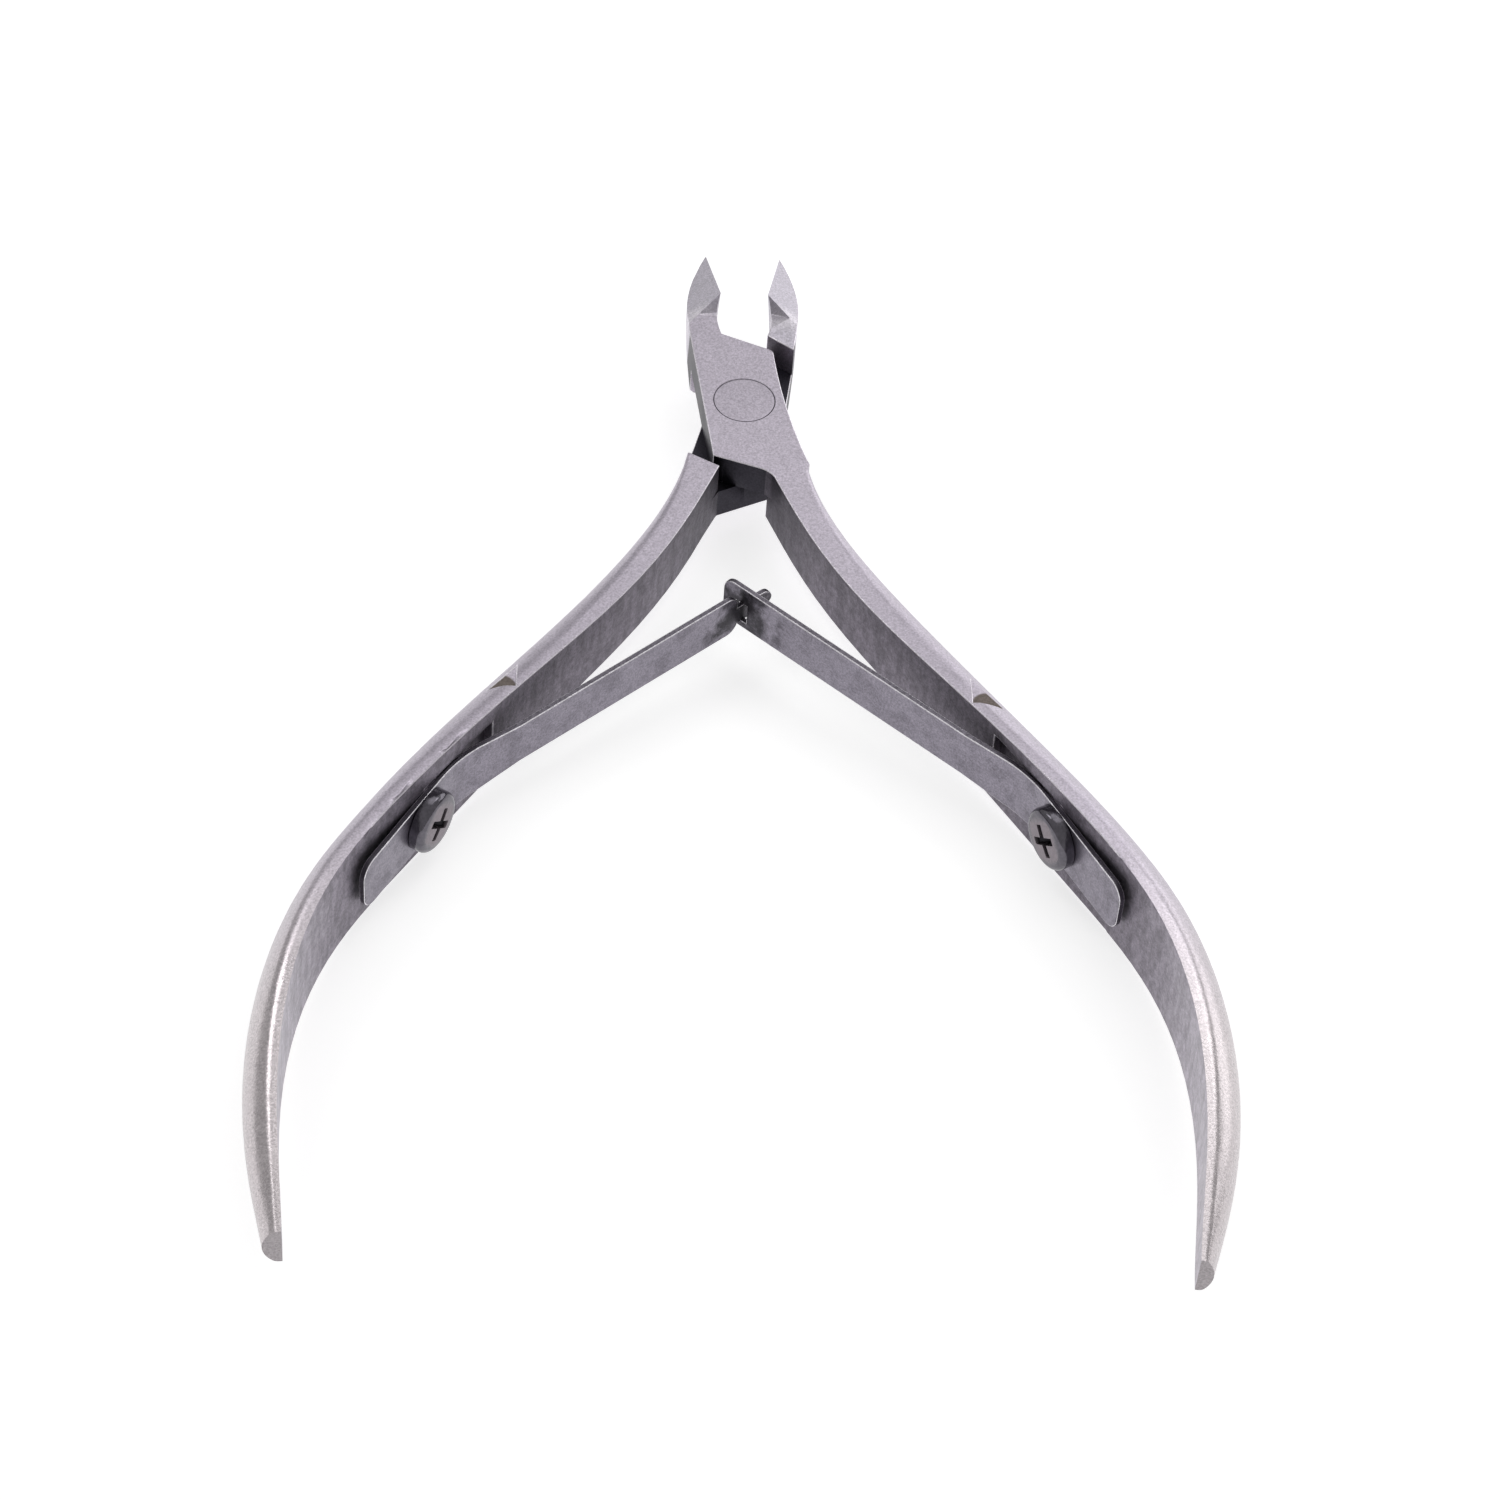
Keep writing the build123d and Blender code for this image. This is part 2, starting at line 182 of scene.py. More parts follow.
class SpringSettings(PropertyGroup):
    """Pair of leaf springs."""

    steel: colour("Spring steel", "Tempered strip", "#8a8590")
    sheared: colour("Sheared edge", "Sides of the strip, dull from the shear", "#66626a")
    # Bright colour of the strip's rounded corners: partly tumbled bright, partly painted highlight
    edge: colour("Strip edge", "Corners of the strip, tumbled bright", "#eeebf0")
    thickness: length("Thickness", "Of the strip", 0.45)
    foot_half_width: length("Foot half width", "Across the strip", 2.35)
    right_half_width: length("Right leaf half width", "Across the leaf with the window", 2.1)
    left_half_width: length("Left leaf half width", "Across the leaf with the tongue", 1.95)
    foot_past_screw: length("Foot past screw", "From the screw to the foot's root", 8.4)
    screw_to_bend: length("Screw to bend", "Flat length above the screw", 2.21)
    foot_angle: turn("Foot angle", "Of the foot, from across the handles", 60.5)
    arm_angle: turn("Arm angle", "Of the leaf, from across the handles", 40.5)
    bend_radius: length("Bend radius", "Between the foot and the leaf", 12.0)
    foot_corner: length("Foot corner", "Rounding of the foot's corners", 1.3)
    leaf_corner: length("Leaf corner", "Rounding of the leaf's corners", 1.0)
    hole_radius: length("Screw hole", "Radius of the hole for the screw", 1.3)
    edge_radius: length("Edge rounding", "Rounding of the strip's edges", 0.06)
    crossing_y: length("Crossing", "Where the leaves cross, below the pivot", -20.7, -100)


class ScrewSettings(PropertyGroup):
    """Pan-head screws."""

    steel: colour("Screw face", "Faces of the heads, scuffed by the driver", "#8b8389")
    # Dark colour of the rims: a painted reflection of dark surroundings
    rim: colour("Screw rim", "Plated rims of the heads", "#66636a")
    # Near-black colour in the crosses
    dirt: colour("Screw dirt", "Dirt in the crosses", "#2b2a2e")
    head_radius: length("Head radius", "Of the pan head", 2.5)
    head_height: length("Head height", "Above the spring", 1.25)
    shank_radius: length("Shank radius", "Of the shank in the handle", 1.1)
    shank_length: length("Shank length", "Below the head", 3.0)
    recess_length: length("Recess length", "Tip to tip of the cross", 2.6)
    recess_width: length("Recess width", "Of each wing of the cross", 0.55)
    recess_depth: length("Recess depth", "At the middle of the cross", 0.7)
    recess_turn: turn("Recess turn", "Of the cross, about the screw", 42)


# ---- meshes ----


def put_mesh(name, points, faces):
    """Object whose mesh has these points, in metres, and these faces."""
    mesh = bpy.data.meshes.new(name)
    mesh.from_pydata(points.tolist(), [], faces.tolist())
    piece = bpy.data.objects.new(name, mesh)
    bpy.context.scene.collection.objects.link(piece)
    return piece


def grid_faces(rows, columns, kept):
    """Four-cornered faces of a grid of points, rows by columns, for the cells that are kept."""
    numbers = np.arange(rows * columns).reshape(rows, columns)
    corners = [numbers[:-1, :-1], numbers[1:, :-1], numbers[1:, 1:], numbers[:-1, 1:]]
    return np.stack([corner[kept] for corner in corners], axis=-1)


def drop_loose_points(points, faces):
    """The points that the faces use, the faces renumbered to match, and those points' old numbers."""
    used, renumbered = np.unique(faces, return_inverse=True)
    return points[used], renumbered.reshape(faces.shape), used


def close_and_smooth(mesh, weld, sharp_angle):
    """Welds coincident points, turns every face outwards and shades smoothly between sharp edges."""
    work = bmesh.new()
    work.from_mesh(mesh)
    bmesh.ops.remove_doubles(work, verts=work.verts, dist=weld)
    bmesh.ops.dissolve_degenerate(work, edges=work.edges, dist=weld)
    bmesh.ops.recalc_face_normals(work, faces=work.faces)
    for face in work.faces:
        face.smooth = True
    for edge in work.edges:
        edge.smooth = edge.calc_face_angle(0) < sharp_angle
    work.to_mesh(mesh)
    work.free()


def apply_modifiers(piece):
    """Writes the piece's modifiers into its mesh."""
    bpy.context.view_layer.update()
    shape = piece.evaluated_get(bpy.context.evaluated_depsgraph_get())
    finished = bpy.data.meshes.new_from_object(shape)
    piece.modifiers.clear()
    piece.data = finished


def unworn(x, y, z):
    """Places whose edges stay sharp: round the rivet, the jaws, the handles' ends and the lap's corners."""
    rivet_reach, jaws_from, ends_from = 3 * MM, 9.4 * MM, -48 * MM
    plate_side, lap_depth = 4.2 * MM, 0.6 * MM
    at_corner = (y > LAP_CORNERS[0]) & (y < LAP_CORNERS[1])
    at_corner &= (np.abs(x) > plate_side) | (np.abs(z - LAP_LEVEL) < lap_depth)
    return (np.hypot(x, y) < rivet_reach) | (y > jaws_from) | (y < ends_from) | at_corner


def weigh_edges(mesh, angle):
    """Bevel weight of each edge: one where its faces meet outwards at more than an angle and it is worn."""
    corner_edge = np.empty(len(mesh.loops), np.int32)
    corners = np.empty(len(mesh.polygons), np.int32)
    normals = np.empty(len(mesh.polygons) * 3, np.float32)
    centres = np.empty(len(mesh.polygons) * 3, np.float32)
    ends = np.empty(len(mesh.edges) * 2, np.int32)
    points = np.empty(len(mesh.vertices) * 3, np.float32)
    mesh.loops.foreach_get("edge_index", corner_edge)
    mesh.polygons.foreach_get("loop_total", corners)
    mesh.polygons.foreach_get("normal", normals)
    mesh.polygons.foreach_get("center", centres)
    mesh.edges.foreach_get("vertices", ends)
    mesh.vertices.foreach_get("co", points)
    normals, centres = normals.reshape(-1, 3), centres.reshape(-1, 3)
    order = np.argsort(corner_edge, kind="stable")
    edge, face = corner_edge[order], np.repeat(np.arange(len(corners)), corners)[order]
    first = np.flatnonzero(edge[1:] == edge[:-1])
    here, there = face[first], face[first + 1]
    level = np.sum(normals[here] * normals[there], axis=1)
    outward = np.sum((centres[there] - centres[here]) * normals[here], axis=1) < 0
    weights = np.zeros(len(mesh.edges), np.float32)
    weights[edge[first]] = (level < cos(angle)) & outward
    middle = points.reshape(-1, 3)[ends].reshape(-1, 2, 3).mean(axis=1)
    weights[unworn(*middle.T)] = 0
    mesh.attributes.new("bevel_weight_edge", "FLOAT", "EDGE").data.foreach_set("value", weights)


def round_edges(piece, radius, angle=None, material_slot=-1):
    """Bevel modifier that rounds the edges sharper than an angle, or the weighted ones if none is given.

    The rounding takes a material slot. After a weighted one come normals weighted by face area, so that a
    wide level face stays level to its edge.
    """
    bevel = piece.modifiers.new("Rounded edges", "BEVEL")
    bevel.width = radius
    bevel.segments = 2
    bevel.limit_method = "WEIGHT" if angle is None else "ANGLE"
    if angle is not None:
        bevel.angle_limit = angle
    bevel.use_clamp_overlap = False
    bevel.loop_slide = False
    bevel.harden_normals = angle is not None
    bevel.material = material_slot
    if angle is None:
        level = piece.modifiers.new("Normals by face area", "WEIGHTED_NORMAL")
        level.mode = "FACE_AREA"
        level.keep_sharp = True


# ---- materials ----


def add_node(tree, kind, inputs=None, **settings):
    """Node of a kind with its settings. An input given a socket is linked to it, or to a node's first one."""
    node = tree.nodes.new(kind)
    for name, value in settings.items():
        setattr(node, name, value)
    for key, value in (inputs or {}).items():
        if isinstance(value, bpy.types.Node):
            value = value.outputs[0]
        if isinstance(value, bpy.types.NodeSocket):
            tree.links.new(value, node.inputs[key])
        else:
            node.inputs[key].default_value = value
    return node


def opaque(rgb, shade=1.0):
    """RGBA of a colour property, darkened to a shade of itself."""
    return (*(shade * part for part in rgb), 1.0)


def empty_material(name):
    """Material without nodes, and the call that adds a node to it."""
    material = bpy.data.materials.new(name)
    material.use_nodes = True
    material.node_tree.nodes.clear()
    return material, partial(add_node, material.node_tree)


def filed_moon(node, place):
    """Share of the brown film: half an ellipse on each filed flat, from its straight step up the handle."""
    # The same on both handles. The height doesn't count, so its half axis is without end
    middle = (18.35 * MM, 32.8 * MM, 0.0)
    half_axes = (1.3 * MM, 1.7 * MM, 1e3)
    flat = node("ShaderNodeAttribute", attribute_name="filed").outputs["Fac"]
    across = node("ShaderNodeVectorMath", {0: place}, operation="ABSOLUTE")
    centred = node(
        "ShaderNodeMapping",
        {"Vector": across, "Location": middle, "Scale": half_axes},
        vector_type="TEXTURE",
    )
    reach = node("ShaderNodeVectorMath", {0: centred}, operation="LENGTH").outputs["Value"]
    inside = node(
        "ShaderNodeMapRange",
        {"Value": reach, "From Min": 1.0, "From Max": 0.86},
        interpolation_type="SMOOTHSTEP",
    )
    return node("ShaderNodeMath", {0: flat, 1: inside}, operation="MULTIPLY")


def blasting_grain(node, place):
    """Tone and relief of blasted steel: noise of 0.17 mm, a little coarser than 0.1 mm beads leave it."""
    grain = node(
        "ShaderNodeTexNoise", {"Vector": place, "Scale": 1 / (0.17 * MM), "Detail": 3.0, "Roughness": 0.75}
    )
    tone = node(
        "ShaderNodeMapRange",
        {"Value": grain, "From Min": 0.34, "From Max": 0.66, "To Min": 0.76, "To Max": 1.22},
    )
    return tone, node("ShaderNodeBump", {"Height": grain, "Strength": 0.6, "Distance": 0.012 * MM})


def forged_steel(settings):
    """Stainless steel, drop-forged, then bead-blasted and ground.

    Blasting leaves a pale, even, fine grain of about 0.1 mm. The inner walls keep the darker, pitted skin of
    the forging, darkened further by painted shade, the jaws are ground fine, and the hand buffs the handles'
    ends, whose lighter colour is partly painted sheen. Painted shade darkens the lap walls and the joint, and
    a painted highlight brightens the roots of the scoops.
    """
    material, node = empty_material("Blasted forged stainless steel")
    place = node("ShaderNodeTexCoord").outputs["Object"]
    forged = node("ShaderNodeAttribute", attribute_name="forged").outputs["Fac"]
    ground = node("ShaderNodeAttribute", attribute_name="ground").outputs["Fac"]
    lap_and_end_shade = node("ShaderNodeAttribute", attribute_name="lap_and_end_shade").outputs["Fac"]
    axes = node("ShaderNodeSeparateXYZ", {0: place})
    # The grain lies over clouds of 3.5 mm
    grain_tone, grained = blasting_grain(node, place)
    cloud = node(
        "ShaderNodeTexNoise", {"Vector": place, "Scale": 1 / (3.5 * MM), "Detail": 3.0, "Roughness": 0.55}
    )
    # Forging pits of 0.6 mm, and scale drawn out in streaks of 0.9 mm across the wall
    pits = node(
        "ShaderNodeTexNoise", {"Vector": place, "Scale": 1 / (0.6 * MM), "Detail": 4.0, "Roughness": 0.62}
    )
    drawn_out = node("ShaderNodeMapping", {"Vector": place, "Scale": (1.0, 1.0, 0.22)})
    streaks = node(
        "ShaderNodeTexNoise", {"Vector": drawn_out, "Scale": 1 / (0.9 * MM), "Detail": 3.0, "Roughness": 0.6}
    )
    # The hand buffs the handles from 44 mm below the pivot to 66 mm, which makes them smoother there; their
    # lighter colour there is partly that buffing and partly painted sheen
    buffing_and_sheen = node(
        "ShaderNodeMapRange",
        {"Value": axes.outputs["Y"], "From Min": -44 * MM, "From Max": -66 * MM},
        interpolation_type="SMOOTHSTEP",
    )
    base = node(
        "ShaderNodeMix",
        {0: buffing_and_sheen, 6: opaque(settings.blasted), 7: opaque(settings.buffed_and_sheen)},
        data_type="RGBA",
    ).outputs[2]
    base = node(
        "ShaderNodeMix", {0: ground, 6: base, 7: opaque(settings.ground)}, data_type="RGBA"
    ).outputs[2]
    # A painted highlight brightens the roots of the scoops behind the cutting facets, in a ragged patch
    # round (3.3, 9.9) mm on each jaw
    across = node("ShaderNodeVectorMath", {0: place}, operation="ABSOLUTE")
    root = node(
        "ShaderNodeMapping",
        {"Vector": across, "Location": (3.3 * MM, 9.9 * MM, 0.0), "Scale": (2.4 * MM, 1.7 * MM, 1e3)},
        vector_type="TEXTURE",
    )
    from_root = node("ShaderNodeVectorMath", {0: root}, operation="LENGTH").outputs["Value"]
    ragged = node("ShaderNodeMath", {0: from_root, 1: pits}, operation="ADD")
    painted_ramp_highlight = node(
        "ShaderNodeMapRange",
        {"Value": ragged, "From Min": 1.7, "From Max": 0.7, "To Max": 0.85},
        interpolation_type="SMOOTHSTEP",
    )
    painted_ramp_highlight = node("ShaderNodeMath", {0: painted_ramp_highlight, 1: ground}, operation="MULTIPLY")
    base = node("ShaderNodeMix", {0: painted_ramp_highlight, 6: base, 7: opaque(settings.edge)}, data_type="RGBA").outputs[2]
    # The forging skin is darker in its pits. Towards the handles' ends it is paler, which is painted light,
    # and towards the joint it goes half way to near-black, which is painted shade
    painted_wall_light = node("ShaderNodeMath", {0: buffing_and_sheen, 1: 0.62}, operation="MULTIPLY")
    skin_and_shade = node(
        "ShaderNodeMix", {0: painted_wall_light, 6: opaque(settings.forged), 7: opaque(settings.blasted)}, data_type="RGBA"
    ).outputs[2]
    scale = node("ShaderNodeMath", {0: pits, 1: streaks}, operation="MULTIPLY")
    scale = node(
        "ShaderNodeMapRange",
        {"Value": scale, "From Min": 0.14, "From Max": 0.36, "To Min": 0.68, "To Max": 1.2},
    )
    skin_and_shade = node(
        "ShaderNodeMix", {0: 1.0, 6: skin_and_shade, 7: scale}, data_type="RGBA", blend_type="MULTIPLY"
    ).outputs[2]
    # Painted shade: from 20 mm below the pivot to 9 mm below it, the inner walls go half way to the
    # near-black colour
    corner = node(
        "ShaderNodeMapRange",
        {"Value": axes.outputs["Y"], "From Min": -20 * MM, "From Max": -9 * MM, "To Max": 0.5},
        interpolation_type="SMOOTHSTEP",
    )
    skin_and_shade = node("ShaderNodeMix", {0: corner, 6: skin_and_shade, 7: opaque(settings.joint_shade)}, data_type="RGBA").outputs[2]
    # The inner walls take the skin colour, which is partly forging skin and partly painted shade
    base = node("ShaderNodeMix", {0: forged, 6: base, 7: skin_and_shade}, data_type="RGBA").outputs[2]
    # Painted shade: the lap's faces and walls and the web take the near-black colour, the handles' end faces
    # in part
    base = node("ShaderNodeMix", {0: lap_and_end_shade, 6: base, 7: opaque(settings.joint_shade)}, data_type="RGBA").outputs[2]
    base = node(
        "ShaderNodeMix", {0: filed_moon(node, place), 6: base, 7: opaque(settings.oxide)}, data_type="RGBA"
    ).outputs[2]
    cloud_tone = node(
        "ShaderNodeMapRange",
        {"Value": cloud, "From Min": 0.3, "From Max": 0.7, "To Min": 0.96, "To Max": 1.03},
    )
    tone = node("ShaderNodeMath", {0: grain_tone, 1: cloud_tone}, operation="MULTIPLY")
    base = node(
        "ShaderNodeMix", {0: 1.0, 6: base, 7: tone}, data_type="RGBA", blend_type="MULTIPLY"
    ).outputs[2]
    rough = node(
        "ShaderNodeMapRange",
        {"Value": cloud, "From Min": 0.3, "From Max": 0.7, "To Min": 0.38, "To Max": 0.46},
    )
    rough = node("ShaderNodeMath", {0: forged, 1: 0.1, 2: rough}, operation="MULTIPLY_ADD")
    rough = node("ShaderNodeMath", {0: buffing_and_sheen, 1: -0.16, 2: rough}, operation="MULTIPLY_ADD")
    pitting = node("ShaderNodeMath", {0: pits, 1: forged}, operation="MULTIPLY")
    pitted = node(
        "ShaderNodeBump", {"Height": pitting, "Strength": 0.8, "Distance": 0.06 * MM, "Normal": grained}
    )
    shader = node(
        "ShaderNodeBsdfPrincipled",
        {"Base Color": base, "Metallic": 1.0, "Roughness": rough, "Normal": pitted},
    )
    node("ShaderNodeOutputMaterial", {"Surface": shader})
    return material


def riveted_steel(settings):
    """Mild stainless rivet, set cold, ground flush and blasted with the joint, so it is a shade darker."""
    material, node = empty_material("Flush ground rivet steel")
    place = node("ShaderNodeTexCoord").outputs["Object"]
    tone, grained = blasting_grain(node, place)
    axes = node("ShaderNodeSeparateXYZ", {0: place})
    level = node("ShaderNodeCombineXYZ", {"X": axes.outputs["X"], "Y": axes.outputs["Y"]})
    reach = node("ShaderNodeVectorMath", {0: level}, operation="LENGTH").outputs["Value"]
    # Painted shade: a dark ring along the rim of the head, whose radius is 2.5 mm, where it meets the plate
    rim = node(
        "ShaderNodeMapRange",
        {"Value": reach, "From Min": 2.4 * MM, "From Max": 2.46 * MM},
        interpolation_type="SMOOTHSTEP",
    )
    base = node(
        "ShaderNodeMix",
        {0: rim, 6: opaque(settings.blasted, 0.93), 7: opaque(settings.joint_shade)},
        data_type="RGBA",
    ).outputs[2]
    base = node(
        "ShaderNodeMix", {0: 1.0, 6: base, 7: tone}, data_type="RGBA", blend_type="MULTIPLY"
    ).outputs[2]
    shader = node(
        "ShaderNodeBsdfPrincipled",
        {"Base Color": base, "Metallic": 1.0, "Roughness": 0.42, "Normal": grained},
    )
    node("ShaderNodeOutputMaterial", {"Surface": shader})
    return material


def nicked_edge_steel(name, rgb):
    """Edges of stainless steel, burnished by blasting beads, tumbling and handling: smoother than the faces
    beside them, and broken by fine nicks of 0.25 mm. A light colour given for them is partly that burnish and
    partly a painted highlight."""
    material, node = empty_material(name)
    place = node("ShaderNodeTexCoord").outputs["Object"]
    nicks = node(
        "ShaderNodeTexNoise", {"Vector": place, "Scale": 1 / (0.25 * MM), "Detail": 3.0, "Roughness": 0.6}
    )
    tone = node(
        "ShaderNodeMapRange",
        {"Value": nicks, "From Min": 0.36, "From Max": 0.6, "To Min": 0.74, "To Max": 1.06},
    )
    base = node(
        "ShaderNodeMix", {0: 1.0, 6: opaque(rgb), 7: tone}, data_type="RGBA", blend_type="MULTIPLY"
    ).outputs[2]
    rough = node(
        "ShaderNodeMapRange",
        {"Value": nicks, "From Min": 0.35, "From Max": 0.65, "To Min": 0.4, "To Max": 0.24},
    )
    shader = node("ShaderNodeBsdfPrincipled", {"Base Color": base, "Metallic": 1.0, "Roughness": rough})
    node("ShaderNodeOutputMaterial", {"Surface": shader})
    return material


def spring_strip_steel(settings):
    """Tempered stainless strip, cold rolled and tumbled: satin, with faint lines along it and stains."""
    material, node = empty_material("Rolled spring steel strip")
    place = node("ShaderNodeTexCoord").outputs["Object"]
    strip = node("ShaderNodeUVMap", uv_map="strip")
    # Rolling lines 0.1 mm apart and about 2 mm long, stains of 1.6 mm and a grain of 0.15 mm
    drawn_out = node("ShaderNodeMapping", {"Vector": strip, "Scale": (0.05, 1.0, 1.0)})
    lines = node("ShaderNodeTexNoise", {"Vector": drawn_out, "Scale": 1 / (0.1 * MM), "Detail": 2.0})
    stains = node(
        "ShaderNodeTexNoise", {"Vector": place, "Scale": 1 / (1.6 * MM), "Detail": 4.0, "Roughness": 0.65}
    )
    grain = node("ShaderNodeTexNoise", {"Vector": place, "Scale": 1 / (0.15 * MM), "Detail": 2.0})
    line_tone = node(
        "ShaderNodeMapRange",
        {"Value": lines, "From Min": 0.3, "From Max": 0.7, "To Min": 0.94, "To Max": 1.06},
    )
    stain_tone = node(
        "ShaderNodeMapRange",
        {"Value": stains, "From Min": 0.36, "From Max": 0.56, "To Min": 0.82, "To Max": 1.04},
    )
    grain_tone = node(
        "ShaderNodeMapRange",
        {"Value": grain, "From Min": 0.3, "From Max": 0.7, "To Min": 0.76, "To Max": 1.24},
    )
    tone = node("ShaderNodeMath", {0: line_tone, 1: stain_tone}, operation="MULTIPLY")
    tone = node("ShaderNodeMath", {0: tone, 1: grain_tone}, operation="MULTIPLY")
    # The leaves rub where they cross, and black fretting stains spread about 3 mm from there. This darkening
    # is partly those stains and partly painted shade between the leaves
    crossing = (0.0, settings.crossing_y, LAP_LEVEL)
    reach = node("ShaderNodeVectorMath", {0: place, 1: crossing}, operation="DISTANCE").outputs["Value"]
    ragged = node(
        "ShaderNodeMapRange",
        {"Value": stains, "From Min": 0.3, "From Max": 0.7, "To Min": -1.6 * MM, "To Max": 1.6 * MM},
    )
    ragged = node("ShaderNodeMath", {0: reach, 1: ragged}, operation="ADD")
    fretting_and_shade = node(
        "ShaderNodeMapRange",
        {"Value": ragged, "From Min": 1.4 * MM, "From Max": 4.2 * MM, "To Min": 0.22, "To Max": 1.0},
        interpolation_type="SMOOTHSTEP",
    )
    tone = node("ShaderNodeMath", {0: tone, 1: fretting_and_shade}, operation="MULTIPLY")
    base = node(
        "ShaderNodeMix", {0: 1.0, 6: opaque(settings.steel), 7: tone}, data_type="RGBA", blend_type="MULTIPLY"
    ).outputs[2]
    rough = node(
        "ShaderNodeMapRange",
        {"Value": stains, "From Min": 0.35, "From Max": 0.6, "To Min": 0.42, "To Max": 0.32},
    )
    lined = node("ShaderNodeBump", {"Height": lines, "Strength": 0.5, "Distance": 0.006 * MM})
    shader = node(
        "ShaderNodeBsdfPrincipled", {"Base Color": base, "Metallic": 1.0, "Roughness": rough, "Normal": lined}
    )
    node("ShaderNodeOutputMaterial", {"Surface": shader})
    return material


def plated_screw_steel(settings):
    """Cold-headed steel screw, nickel plated: the rounded rim is bright and dark like a mirror, its dark
    colour a painted reflection, the face is scuffed dull by the driver, with marks of 0.3 mm, and the cross
    is near-black."""
    material, node = empty_material("Nickel plated screw steel")
    place = node("ShaderNodeTexCoord").outputs["Object"]
    marks = node(
        "ShaderNodeTexNoise", {"Vector": place, "Scale": 1 / (0.3 * MM), "Detail": 4.0, "Roughness": 0.65}
    )
    deep = node("ShaderNodeAttribute", attribute_name="recess").outputs["Fac"]
    face = node("ShaderNodeAttribute", attribute_name="face").outputs["Fac"]
    base = node(
        # The rim takes its dark colour, a painted reflection
        "ShaderNodeMix", {0: face, 6: opaque(settings.rim), 7: opaque(settings.steel)}, data_type="RGBA"
    ).outputs[2]
    base = node("ShaderNodeMix", {0: deep, 6: base, 7: opaque(settings.dirt)}, data_type="RGBA").outputs[2]
    tone = node(
        "ShaderNodeMapRange",
        {"Value": marks, "From Min": 0.35, "From Max": 0.65, "To Min": 0.8, "To Max": 1.12},
    )
    base = node(
        "ShaderNodeMix", {0: 1.0, 6: base, 7: tone}, data_type="RGBA", blend_type="MULTIPLY"
    ).outputs[2]
    rough = node(
        "ShaderNodeMapRange",
        {"Value": marks, "From Min": 0.3, "From Max": 0.7, "To Min": 0.12, "To Max": 0.2},
    )
    dulled = node("ShaderNodeMath", {0: deep, 1: face}, operation="MAXIMUM")
    rough = node("ShaderNodeMath", {0: dulled, 1: 0.26, 2: rough}, operation="MULTIPLY_ADD")
    marked = node("ShaderNodeBump", {"Height": marks, "Strength": 0.6, "Distance": 0.012 * MM})
    shader = node(
        "ShaderNodeBsdfPrincipled",
        {"Base Color": base, "Metallic": 1.0, "Roughness": rough, "Normal": marked},
    )
    node("ShaderNodeOutputMaterial", {"Surface": shader})
    return material


# ---- surfaces ----


def joint_place(name):
    """Place of a joint's axis in the frame, in metres."""
    return np.array(next(joint for joint in frame["joints"] if joint["name"] == name)["pos_m"])


def spring_path(settings, side_name, run):
    """Points and left-hand normals of a spring's middle line, run being the distance from the foot's root.

    The line is straight up the foot, an arc of the bend radius up to the flex point, and straight along the
    leaf. Worked out for the right side, whose leaf runs up and to the left, and mirrored in x for the left.
    """
    side = SIDES[side_name]
    flex = joint_place(SPRING_JOINTS[side_name])[:2] * (side, 1)
    foot_turn = pi - settings.foot_angle
    arm_turn = pi - settings.arm_angle
    radius = settings.bend_radius
    foot_end = settings.foot_past_screw + settings.screw_to_bend
    bend_end = foot_end + radius * (arm_turn - foot_turn)
    heading = foot_turn + np.clip(run - foot_end, 0, bend_end - foot_end) / radius
    along = np.stack([np.cos(heading), np.sin(heading)], axis=-1)
    left = np.stack([-along[..., 1], along[..., 0]], axis=-1)
    centre = flex + radius * np.array([-sin(arm_turn), cos(arm_turn)])
    points = centre - radius * left
    points += along * (np.minimum(run - foot_end, 0) + np.maximum(run - bend_end, 0))[..., None]
    points[..., 0] *= side
    left[..., 0] *= side
    return points, left, bend_end


def rounded_half_width(half_width, from_end, corner):
    """Half width of a strip near an end whose corners are quarter circles, by the distance from the end.

    The square root of the corner's radius squared less the distance into the corner squared.
    """
    inside = np.clip(corner - from_end, 0, corner)
    return half_width - corner + np.sqrt(np.maximum(corner**2 - inside**2, 0))


def stations(marks, step):
    """Sorted places along a line that hit every mark and are no more than a step apart."""
    pieces = [
        np.linspace(start, end, max(2, int(np.ceil((end - start) / step)) + 1))[:-1]
        for start, end in zip(marks[:-1], marks[1:])
    ]
    return np.append(np.concatenate(pieces), marks[-1])


def arc_marks(start, end, count):
    """Places between two marks, closer together towards the start, as a quarter circle needs."""
    return start + (end - start) * (1 - np.cos(np.linspace(0, pi / 2, count)))


def rounding_marks(end, corner, count):
    """Places along the last stretch before an end, closer together towards it, as its rounding needs."""
    return [end - corner + corner * sin(t) for t in np.linspace(0, pi / 2, count)]


def open_screw_hole(from_hole, inner, outer, radius):
    """Grid points round a screw hole, opened so that the small square in the middle becomes the hole.

    By its larger coordinate, a point between the inner and the outer square goes the same share of the way
    from the circle of the hole's radius to the outer square.
    """
    smallest = 1e-9
    largest = np.abs(from_hole).max(axis=-1)
    distance = np.maximum(np.linalg.norm(from_hole, axis=-1), smallest)
    share = np.clip((largest - inner) / (outer - inner), 0, 1)[..., None]
    on_circle = from_hole / distance[..., None] * radius
    on_square = from_hole * (outer / np.maximum(largest, smallest))[..., None]
    opened = on_circle * (1 - share) + on_square * share
    near = (largest <= outer) & (largest > 0.5 * inner)
    return np.where(near[..., None], opened, from_hole)


